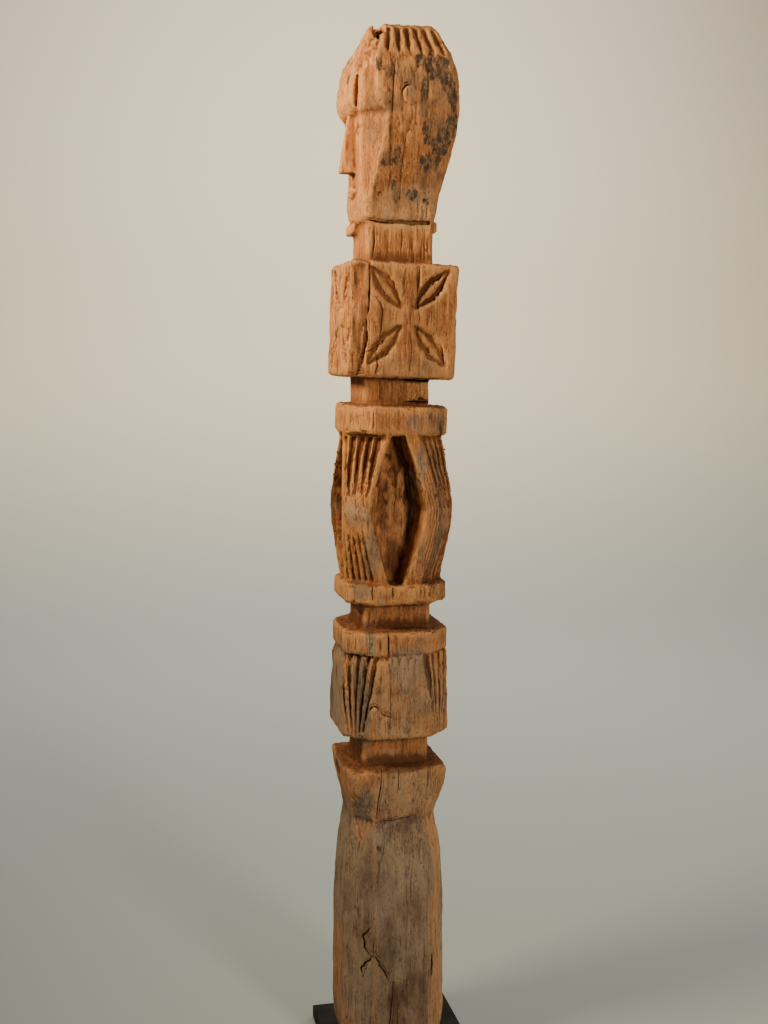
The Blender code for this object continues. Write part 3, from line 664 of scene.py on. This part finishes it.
def remeshed(source, voxel):
    """A copy of a frame mesh, welded and remeshed evenly."""
    copy = source.copy()
    copy.data = source.data.copy()
    bpy.context.scene.collection.objects.link(copy)
    weld = copy.modifiers.new("weld", "WELD")
    weld.merge_threshold = 1e-6
    remesh = copy.modifiers.new("remesh", "REMESH")
    remesh.mode = "VOXEL"
    remesh.voxel_size = voxel
    graph = bpy.context.evaluated_depsgraph_get()
    mesh = bpy.data.meshes.new_from_object(copy.evaluated_get(graph))
    bpy.data.objects.remove(copy, do_unlink=True)
    return mesh


def thinned(mesh, most):
    """The mesh in triangles, thinned to about the given number, fewest where it is flat."""
    count = 2 * len(mesh.polygons)
    holder = bpy.data.objects.new("thinning", mesh)
    bpy.context.scene.collection.objects.link(holder)
    if count > most:
        decimate = holder.modifiers.new("decimate", "DECIMATE")
        decimate.ratio = most / count
    else:
        holder.modifiers.new("triangles", "TRIANGULATE")
    graph = bpy.context.evaluated_depsgraph_get()
    thin = bpy.data.meshes.new_from_object(holder.evaluated_get(graph))
    bpy.data.objects.remove(holder, do_unlink=True)
    return thin


def set_mask(mesh, name, values):
    layer = mesh.attributes.new(name, "FLOAT", "POINT")
    layer.data.foreach_set("value", np.ascontiguousarray(values, np.float32))


class Tree:
    """Short calls for building a node tree."""

    def __init__(self, tree):
        self.tree = tree

    def add(self, kind, inputs=None, **settings):
        node = self.tree.nodes.new(kind)
        for name, value in settings.items():
            setattr(node, name, value)
        for name, value in (inputs or {}).items():
            self.feed(node.inputs[name], value)
        return node

    def feed(self, socket, value):
        if isinstance(value, bpy.types.NodeSocket):
            self.tree.links.new(value, socket)
        else:
            socket.default_value = value

    def math(self, operation, first, second=0.0, clamp=False):
        node = self.add("ShaderNodeMath", {0: first, 1: second}, operation=operation)
        node.use_clamp = clamp
        return node.outputs[0]

    def times(self, first, second):
        return self.math("MULTIPLY", first, second)

    def plus(self, first, second):
        return self.math("ADD", first, second)

    def minus(self, first, second):
        return self.math("SUBTRACT", first, second)

    def ramp(self, value, low, high, to_low=0.0, to_high=1.0):
        """The value's place between low and high, eased, as to_low to to_high."""
        names = {"Value": value, "From Min": low, "From Max": high, "To Min": to_low, "To Max": to_high}
        return self.add("ShaderNodeMapRange", names, interpolation_type="SMOOTHSTEP").outputs["Result"]

    def mix(self, share, first, second):
        node = self.add("ShaderNodeMix", data_type="RGBA")
        for index, value in ((0, share), (6, first), (7, second)):
            self.feed(node.inputs[index], value)
        return node.outputs[2]

    def coat(self, colour, mask, most, paint):
        """The colour with paint over it where the mask is, up to the share most."""
        return self.mix(self.times(mask, most), colour, paint)

    def stretched(self, places, size):
        return self.add("ShaderNodeVectorMath", {0: places, 1: size}, operation="MULTIPLY").outputs[0]

    def noise(self, places, scale, detail=2.0, roughness=0.5, distortion=0.0):
        names = {
            "Vector": places,
            "Scale": scale,
            "Detail": detail,
            "Roughness": roughness,
            "Distortion": distortion,
        }
        return self.add("ShaderNodeTexNoise", names).outputs["Fac"]

    def mask(self, name):
        return self.add("ShaderNodeAttribute", attribute_name=name).outputs["Fac"]


def node_group(name, inputs, outputs, kind="ShaderNodeTree"):
    """An empty group with those sockets, its Tree and its two end nodes."""
    group = bpy.data.node_groups.new(name, kind)
    for socket, socket_kind, value in inputs:
        made = group.interface.new_socket(socket, in_out="INPUT", socket_type=socket_kind)
        if value is not None:
            made.default_value = value
    for socket, socket_kind in outputs:
        group.interface.new_socket(socket, in_out="OUTPUT", socket_type=socket_kind)
    tree = Tree(group)
    return group, tree, tree.add("NodeGroupInput"), tree.add("NodeGroupOutput")


def relief_group():
    """Hand-cut unevenness, raised rings, crumbled end grain and fine checks over the whole timber."""
    group, tree, given, result = node_group(
        "timber_relief",
        [
            ("Geometry", "NodeSocketGeometry", None),
            ("Hollows", "NodeSocketFloat", 0.0010),
            ("Lumps", "NodeSocketFloat", 0.0007),
            ("Rings", "NodeSocketFloat", 0.0005),
            ("Crumbs", "NodeSocketFloat", 0.0016),
            ("Checks", "NodeSocketFloat", 0.0020),
            ("Material", "NodeSocketMaterial", None),
        ],
        [("Geometry", "NodeSocketGeometry")],
        "GeometryNodeTree",
    )
    place = tree.add("GeometryNodeInputPosition").outputs["Position"]
    normal = tree.add("GeometryNodeInputNormal").outputs["Normal"]

    def wavy(pitch, along, detail):
        waves = tree.noise(tree.stretched(place, (1, 1, 1 / along)), 1 / pitch, detail)
        return tree.times(tree.minus(waves, 0.5), 4.0)

    upward = tree.math("ABSOLUTE", tree.add("ShaderNodeSeparateXYZ", {0: normal}).outputs["Z"])
    end_grain = tree.math("POWER", upward, 3.0)
    line = tree.times(tree.math("ABSOLUTE", wavy(0.010, 22, 1)), 9.0)
    line = tree.math("SUBTRACT", 1.0, line, clamp=True)
    side_grain = tree.minus(1.0, end_grain)
    where = tree.times(tree.ramp(wavy(0.060, 2, 2), 0.0, 0.5), side_grain)
    checks = tree.times(tree.times(line, where), -1.0)
    parts = {
        "Hollows": wavy(0.070, 1.6, 2),
        "Lumps": wavy(0.016, 1.6, 2),
        "Rings": wavy(0.0046, 16, 1),
        "Crumbs": tree.times(wavy(0.008, 1, 3), end_grain),
        "Checks": checks,
    }
    total = 0.0
    for name, part in parts.items():
        total = tree.plus(total, tree.times(part, given.outputs[name]))
    offset = tree.add("ShaderNodeVectorMath", {0: normal, "Scale": total}, operation="SCALE").outputs[0]
    moved = tree.add("GeometryNodeSetPosition", {"Geometry": given.outputs["Geometry"], "Offset": offset})
    plain = tree.add("GeometryNodeRealizeInstances", {"Geometry": moved.outputs["Geometry"]})
    names = {"Geometry": plain.outputs["Geometry"], "Material": given.outputs["Material"]}
    coated = tree.add("GeometryNodeSetMaterial", names)
    tree.feed(result.inputs["Geometry"], coated.outputs["Geometry"])
    return group


def relieved(mesh, material):
    """The mesh with the relief of its tree, as a plain mesh."""
    group = relief_group()
    holder = bpy.data.objects.new("relief", mesh)
    bpy.context.scene.collection.objects.link(holder)
    modifier = holder.modifiers.new("relief", "NODES")
    modifier.node_group = group
    for socket in group.interface.items_tree:
        if socket.name == "Material":
            modifier[socket.identifier] = material
    graph = bpy.context.evaluated_depsgraph_get()
    made = bpy.data.meshes.new_from_object(holder.evaluated_get(graph))
    bpy.data.objects.remove(holder, do_unlink=True)
    return made


def grain_group():
    """Fibres, growth rings and fine checks that run up the timber."""
    group, tree, given, result = node_group(
        "timber_grain",
        [
            ("Place", "NodeSocketVector", None),
            ("Fibre Pitch", "NodeSocketFloat", 0.0024),
            ("Ring Pitch", "NodeSocketFloat", 0.0050),
        ],
        [
            ("Tone", "NodeSocketFloat"),
            ("Streaks", "NodeSocketFloat"),
            ("Checks", "NodeSocketFloat"),
            ("Height", "NodeSocketFloat"),
        ],
    )
    place = given.outputs["Place"]
    fibre_scale = tree.math("DIVIDE", 1.0, given.outputs["Fibre Pitch"])
    ring_scale = tree.math("DIVIDE", 1.0, given.outputs["Ring Pitch"])
    upright = tree.stretched(place, (1, 1, 0.06))
    slow = tree.stretched(place, (1, 1, 0.16))
    fibres = tree.noise(upright, fibre_scale, 3, 0.75)
    rings = tree.noise(upright, ring_scale, 3, 0.6, 0.5)
    broad = tree.noise(slow, 40, 3, 0.6)
    grit = tree.noise(tree.stretched(place, (1, 1, 0.6)), 380, 3, 0.75)
    tone = tree.times(fibres, 0.34)
    for part, share in ((rings, 0.18), (broad, 0.14), (grit, 0.34)):
        tone = tree.plus(tone, tree.times(part, share))
    streaks = tree.ramp(tree.noise(tree.stretched(place, (1, 1, 0.035)), ring_scale, 2, 0.5), 0.50, 0.62)
    thin = tree.noise(tree.stretched(place, (1, 1, 0.03)), tree.times(ring_scale, 1.4), 2, 0.5)
    ridge = tree.math("ABSOLUTE", tree.minus(thin, 0.5))
    checks = tree.ramp(ridge, 0.003, 0.018, 1.0, 0.0)
    checks = tree.times(checks, tree.ramp(tree.noise(slow, 60, 2), 0.48, 0.60))
    height = tree.plus(tree.times(fibres, 0.7), tree.times(rings, 0.6))
    height = tree.plus(height, tree.times(grit, 0.9))
    height = tree.minus(height, tree.times(checks, 0.9))
    for name, value in (("Tone", tone), ("Streaks", streaks), ("Checks", checks), ("Height", height)):
        tree.feed(result.inputs[name], value)
    return group


def ragged_group():
    """A soft mask whose edge is broken up by noise, as stains, worn paint and dust are."""
    group, tree, given, result = node_group(
        "ragged_mask",
        [
            ("Place", "NodeSocketVector", None),
            ("Mask", "NodeSocketFloat", 0.0),
            ("Scale", "NodeSocketFloat", 180.0),
            ("Raggedness", "NodeSocketFloat", 0.9),
            ("Threshold", "NodeSocketFloat", 0.5),
            ("Softness", "NodeSocketFloat", 0.12),
        ],
        [("Mask", "NodeSocketFloat")],
    )
    broken = tree.noise(given.outputs["Place"], given.outputs["Scale"], 4, 0.62)
    moved = tree.times(tree.minus(broken, 0.5), given.outputs["Raggedness"])
    value = tree.plus(given.outputs["Mask"], tree.times(moved, 2.0))
    low = tree.minus(given.outputs["Threshold"], given.outputs["Softness"])
    high = tree.plus(given.outputs["Threshold"], given.outputs["Softness"])
    tree.feed(result.inputs["Mask"], tree.ramp(value, low, high))
    return group


GRAIN = grain_group()
RAGGED = ragged_group()


def new_material(name):
    """A material, its Tree, its shader and its places in Object coordinates."""
    made = bpy.data.materials.new(name)
    made.use_nodes = True
    made.node_tree.nodes.clear()
    tree = Tree(made.node_tree)
    shader = tree.add("ShaderNodeBsdfPrincipled")
    tree.add("ShaderNodeOutputMaterial", {"Surface": shader.outputs["BSDF"]})
    place = tree.add("ShaderNodeTexCoord").outputs["Object"]
    return made, tree, shader, place


def ragged(tree, place, mask, scale, raggedness, threshold, softness):
    """The mask with its edge broken up, by the shared group."""
    node = tree.add("ShaderNodeGroup", node_tree=RAGGED)
    values = (place, mask, scale, raggedness, threshold, softness)
    for name, value in zip(("Place", "Mask", "Scale", "Raggedness", "Threshold", "Softness"), values):
        tree.feed(node.inputs[name], value)
    return node.outputs["Mask"]


# The timber, its weathering and its dirt; some of these colours also serve as painted shade and painted
# light
TAN = (0.60, 0.238, 0.078, 1)
BROWN = (0.27, 0.088, 0.028, 1)
DEEP = (0.085, 0.026, 0.009, 1)
RUST = (0.42, 0.132, 0.038, 1)
SILVER = (0.260, 0.190, 0.128, 1)
ASH = (0.135, 0.094, 0.066, 1)
MOSS = (0.285, 0.212, 0.146, 1)
SLATE = (0.030, 0.031, 0.027, 1)
SMOKE = (0.105, 0.084, 0.058, 1)
SOOT = (0.014, 0.006, 0.003, 1)
PALE_WEAR_AND_HIGHLIGHT = (0.82, 0.41, 0.140, 1)
DUST_AND_LIGHT = (0.66, 0.43, 0.22, 1)
# The plate's paint and its dust
JET = (0.0035, 0.0034, 0.0032, 1)
CHARCOAL = (0.0070, 0.0065, 0.0060, 1)
FAWN = (0.30, 0.24, 0.18, 1)
# The backdrop, from the floor upwards; its darker cool grey low down and sand high up are painted shade
SHADED_COOL_GREY = (0.345, 0.395, 0.39, 1)
CREAM = (0.91, 0.80, 0.60, 1)
SHADED_SAND = (0.72, 0.63, 0.50, 1)


def weathered_wood():
    """Old bare timber: warm brown, greyed low down, stained, dusty and cracked."""
    made, tree, shader, place = new_material("weathered_wood")
    grain = tree.add("ShaderNodeGroup", {"Place": place}, node_tree=GRAIN)
    streaks, checks, tone = (grain.outputs[name] for name in ("Streaks", "Checks", "Tone"))
    hollow = tree.mask("hollow")
    colour = tree.mix(tree.ramp(tone, 0.39, 0.61), BROWN, TAN)
    mottled = tree.noise(place, 24, 4, 0.65)
    colour = tree.mix(tree.ramp(mottled, 0.50, 0.66, 0, 0.45), colour, RUST)
    colour = tree.mix(tree.ramp(mottled, 0.30, 0.46, 0.40, 0.0), colour, BROWN)
    colour = tree.coat(colour, streaks, 0.22, BROWN)
    # Greyed and bleached places
    drift = tree.noise(tree.stretched(place, (1, 1, 0.4)), 30, 4, 0.6)
    level = tree.add("ShaderNodeSeparateXYZ", {0: place}).outputs["Z"]
    low_down = tree.ramp(level, 0.45, 1.15, 0.28, 0.0)
    bleach = tree.plus(tree.ramp(drift, 0.5, 0.75, 0.0, 0.2), low_down)
    bleach = tree.plus(tree.mask("greyed"), bleach)
    greyed = ragged(tree, tree.stretched(place, (1, 1, 0.4)), bleach, 70, 0.35, 0.45, 0.40)
    soft_tone = tree.plus(tree.times(drift, 0.65), tree.times(tone, 0.35))
    grey = tree.mix(tree.ramp(soft_tone, 0.40, 0.60), ASH, SILVER)
    cloud = tree.noise(tree.stretched(place, (1, 1, 0.5)), 16, 3, 0.5)
    grey = tree.mix(tree.ramp(cloud, 0.46, 0.60, 0.0, 0.7), grey, MOSS)
    colour = tree.coat(colour, greyed, 0.90, grey)
    # Fresh colour, arrises paled by wear and by painted highlight, and end grain
    orange = ragged(tree, place, tree.mask("orange"), 70, 0.6, 0.5, 0.35)
    colour = tree.coat(colour, orange, 0.62, tree.mix(tone, RUST, TAN))
    raised = tree.ramp(hollow, -0.70, -0.08, 1.0, 0.0)
    rubbed_and_highlit = tree.times(raised, tree.ramp(greyed, 0, 1, 0.34, 0.10))
    colour = tree.mix(rubbed_and_highlit, colour, PALE_WEAR_AND_HIGHLIGHT)
    ends = tree.mix(tree.ramp(tone, 0.38, 0.62), DEEP, BROWN)
    colour = tree.coat(colour, tree.mask("end_grain"), 0.82, ends)
    # Haze, dust with painted light on the side strips, and stains
    flat = tree.stretched(place, (1, 1, 0.6))
    haze = ragged(tree, flat, tree.mask("hazed"), 70, 0.9, 0.50, 0.35)
    colour = tree.coat(colour, haze, 0.58, SMOKE)
    dusted_and_lit = ragged(tree, flat, tree.mask("dusted_and_lit"), 60, 0.6, 0.45, 0.40)
    colour = tree.coat(colour, dusted_and_lit, 0.30, DUST_AND_LIGHT)
    stain = ragged(tree, flat, tree.mask("stain"), 75, 1.3, 0.50, 0.20)
    flecks = tree.ramp(tree.noise(flat, 150, 4, 0.75), 0.41, 0.56, 0.20, 1.0)
    colour = tree.coat(colour, tree.times(stain, flecks), 0.86, SLATE)
    specks = tree.ramp(tree.noise(tree.stretched(place, (1, 1, 0.7)), 330, 3, 0.8), 0.60, 0.72)
    specks = tree.times(specks, tree.ramp(greyed, 0, 1, 0.16, 0.36))
    colour = tree.mix(specks, colour, DUST_AND_LIGHT)
    # Damp stains and painted shade, and in the hollows dirt with painted shade
    damp_and_shade = ragged(tree, tree.stretched(place, (1, 1, 0.3)), tree.mask("damp_and_shade"), 120, 0.6, 0.5, 0.45)
    colour = tree.coat(colour, damp_and_shade, 0.72, DEEP)
    # Darkening in the hollows by their depth: dirt, and painted shade as occlusion gives, most in the
    # listed grooves
    sunk = tree.ramp(hollow, -0.15, 0.40)
    soiled_and_shaded = tree.times(sunk, tree.ramp(tree.mask("soiled_and_shaded"), 0, 1, 0, 0.80))
    dirt_and_shade = tree.math("MAXIMUM", tree.ramp(hollow, 0.05, 0.75, 0, 0.45), soiled_and_shaded)
    colour = tree.mix(dirt_and_shade, colour, DEEP)
    colour = tree.coat(colour, checks, 0.6, DEEP)
    pores = tree.ramp(tree.noise(tree.stretched(place, (1, 1, 0.25)), 620, 2), 0.60, 0.70)
    colour = tree.coat(colour, pores, 0.5, DEEP)
    # Reeding, which drifts a little
    drawn = tree.times(tree.minus(drift, 0.5), 0.006)
    reeds = tree.plus(tree.mask("reed_place"), drawn)
    reeds = tree.times(reeds, math.pi / REED_PITCH)
    reeds = tree.ramp(tree.math("ABSOLUTE", tree.math("SINE", reeds)), 0.05, 0.70, 1.0, 0.0)
    reeds = tree.times(reeds, tree.ramp(tree.mask("reeded"), 0.1, 0.8))
    colour = tree.coat(colour, reeds, 0.50, DEEP)
    # Cracks and the painted shadow lines among them, with a wobbly edge
    wobble = tree.times(tree.minus(tree.noise(place, 500, 2), 0.5), 0.7)
    crack_and_shadow_line = 0.0
    for field in range(CRACK_FIELDS):
        edge = tree.plus(tree.math("ABSOLUTE", tree.mask(f"crack_{field}")), wobble)
        strength = tree.mask(f"crack_strength_{field}")
        dark = tree.times(tree.ramp(edge, 0.35, 1.0, 1.0, 0.0), strength)
        crack_and_shadow_line = tree.math("MAXIMUM", crack_and_shadow_line, dark)
    colour = tree.coat(colour, crack_and_shadow_line, 0.93, SOOT)
    tree.feed(shader.inputs["Base Color"], colour)
    tree.feed(shader.inputs["Roughness"], tree.ramp(tone, 0.4, 0.6, 0.92, 0.76))
    shader.inputs["Specular IOR Level"].default_value = 0.16
    height = tree.minus(grain.outputs["Height"], tree.times(crack_and_shadow_line, 1.4))
    height = tree.minus(height, tree.times(pores, 0.5))
    height = tree.minus(height, tree.times(reeds, 0.9))
    bump = tree.add("ShaderNodeBump", {"Height": height, "Strength": 0.9, "Distance": 0.0013})
    tree.feed(shader.inputs["Normal"], bump.outputs["Normal"])
    return made


def black_paint():
    """The plate's satin black paint, with a little dust on its top."""
    made, tree, shader, place = new_material("black_paint")
    haze = tree.noise(place, 26, 4, 0.6)
    colour = tree.mix(tree.ramp(haze, 0.35, 0.7), JET, CHARCOAL)
    geometry = tree.add("ShaderNodeNewGeometry")
    turned = tree.add("ShaderNodeSeparateXYZ", {"Vector": geometry.outputs["Normal"]})
    upward = tree.times(tree.math("MAXIMUM", turned.outputs["Z"], 0.0), 0.55)
    dust = ragged(tree, place, upward, 90, 0.6, 0.72, 0.22)
    colour = tree.coat(colour, dust, 0.02, FAWN)
    shader.inputs["Specular IOR Level"].default_value = 0.12
    tree.feed(shader.inputs["Base Color"], colour)
    tree.feed(shader.inputs["Roughness"], tree.ramp(haze, 0.3, 0.7, 0.55, 0.72))
    fine = tree.noise(place, 900, 2)
    bump = tree.add("ShaderNodeBump", {"Height": fine, "Strength": 0.25, "Distance": 0.0003})
    tree.feed(shader.inputs["Normal"], bump.outputs["Normal"])
    return made


def studio_floor_painted_shade():
    """A pale sweep, warmer up the wall and cooler along the floor, with painted shade: darker towards the
    floor and high on the wall.
    """
    made, tree, shader, place = new_material("studio_floor_painted_shade")
    height = tree.add("ShaderNodeSeparateXYZ", {"Vector": place}).outputs["Z"]
    lower_shaded = tree.mix(tree.ramp(height, -0.30, 1.20), SHADED_COOL_GREY, CREAM)
    colour = tree.mix(tree.ramp(height, 1.3, 3.0), lower_shaded, SHADED_SAND)
    tree.feed(shader.inputs["Base Color"], colour)
    shader.inputs["Roughness"].default_value = 0.9
    return made


def stage(material):
    """A floor that curves up into a wall far behind the post."""
    wall, bend, height, half = -4.6, 1.6, 6.0, 7.0
    profile = [(7.0, 0.0), (wall + bend, 0.0)]
    for i in range(1, 13):
        turn = math.radians(90 * i / 12)
        profile.append((wall + bend - bend * math.sin(turn), bend - bend * math.cos(turn)))
    profile.append((wall, height))
    points = [(x, y, z) for x, z in profile for y in (-half, half)]
    faces = [(i, i + 1, i + 3, i + 2) for i in range(0, len(points) - 2, 2)]
    mesh = bpy.data.meshes.new("floor")
    mesh.from_pydata(points, [], faces)
    mesh.shade_smooth()
    mesh.materials.append(material)
    floor = bpy.data.objects.new("floor", mesh)
    bpy.context.scene.collection.objects.link(floor)


def lamp(name, place, target, size, power, colour, spread=180):
    data = bpy.data.lights.new(name, "AREA")
    data.shape = "RECTANGLE"
    data.size, data.size_y = size
    data.energy = power
    data.color = colour
    data.spread = math.radians(spread)
    made = bpy.data.objects.new(name, data)
    made.location = place
    made.rotation_mode = "QUATERNION"
    made.rotation_quaternion = (Vector(target) - Vector(place)).to_track_quat("-Z", "Y")
    made.visible_camera = False
    bpy.context.scene.collection.objects.link(made)


def lights():
    """Soft lamps from the face side and the front, on the wall and on the floor, and a dim sky."""
    head, middle = (0, 0, 1.40), (0, 0, 0.9)
    lamp("key", (0.24, -1.05, 1.80), head, (0.35, 0.45), 14.5, (1.0, 0.86, 0.57), 120)
    lamp("front", (2.65, 0.95, 1.48), middle, (0.5, 0.5), 40, (1.0, 0.92, 0.77))
    lamp("rim", (-1.4, 1.9, 1.9), middle, (0.6, 1.2), 12, (1.0, 0.90, 0.76))
    lamp("wall", (-2.3, 0.9, 3.2), (-4.6, 0.9, 1.2), (3.2, 1.0), 125, (1.0, 0.92, 0.80))
    lamp("floor_wash", (-1.6, 0.2, 3.2), (-2.6, 0.2, 0.0), (3.0, 2.0), 24, (0.92, 0.98, 1.0))
    world = bpy.data.worlds.new("studio")
    world.use_nodes = True
    back = world.node_tree.nodes["Background"]
    back.inputs["Color"].default_value = (0.86, 0.90, 0.92, 1)
    back.inputs["Strength"].default_value = 0.16
    bpy.context.scene.world = world


def camera():
    """The photograph's camera: its bearing, distance, height and small turns."""
    bearing, distance, height = math.radians(76.5), 1.97, 1.130
    yaw, pitch, roll = math.radians(0.275), math.radians(6.93), math.radians(0.33)
    data = bpy.data.cameras.new("camera")
    data.sensor_width = 36
    data.lens = 43.95
    made = bpy.data.objects.new("camera", data)
    made.location = AXIS + Vector((math.sin(bearing) * distance, -math.cos(bearing) * distance, height))
    turn = Matrix.Rotation(bearing + yaw, 3, "Z") @ Matrix.Rotation(math.pi / 2 - pitch, 3, "X")
    made.rotation_mode = "QUATERNION"
    made.rotation_quaternion = (turn @ Matrix.Rotation(roll, 3, "Z")).to_quaternion()
    bpy.context.scene.collection.objects.link(made)
    bpy.context.scene.camera = made


def timber_piece(material):
    """The carved timber, from the frame's own solid."""
    mesh = remeshed(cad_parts["carved_post"], VOXEL)
    surface = Surface(mesh)
    wear_edges(surface)
    surface.read_normals()
    deepen_bell(surface)
    part_core(surface)
    deepen_grooves(surface)
    surface.read_normals()
    mesh = relieved(mesh, material)
    surface = Surface(mesh)
    rough_places(surface)
    surface.read_normals()
    open_cracks(surface)
    keep_foot(surface)
    surface.read_normals()
    mesh = thinned(mesh, MOST_TRIANGLES)
    surface = Surface(mesh)
    soft = surface.smoothed(8)
    hollow = ((soft - surface.co) * surface.normal).sum(1)
    for field in range(CRACK_FIELDS):
        signed, strength = crack_field(surface, slice(field, None, CRACK_FIELDS))
        set_mask(mesh, f"crack_{field}", signed)
        set_mask(mesh, f"crack_strength_{field}", strength)
    set_mask(mesh, "hollow", np.clip(hollow / FULL_HOLLOW, -1, 1))
    set_mask(mesh, "end_grain", smoothstep(0.55, 0.85, surface.normal[:, 2]))
    for name, listed in PATCHES.items():
        set_mask(mesh, name, patches(surface, listed))
    set_mask(mesh, "hazed", np.maximum(patches(surface, HAZED), 0.5 * patches(surface, STAINS)))
    set_mask(mesh, "reed_place", reed_places(surface))
    mesh.name = "timber"
    mesh.shade_smooth()
    timber = bpy.data.objects.new("timber", mesh)
    bpy.context.scene.collection.objects.link(timber)
    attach(timber, "root")
    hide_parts("carved_post")


camera()
timber_piece(weathered_wood())
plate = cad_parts["stand_plate"]
plate.data.materials.clear()
plate.data.materials.append(black_paint())
stage(studio_floor_painted_shade())
lights()
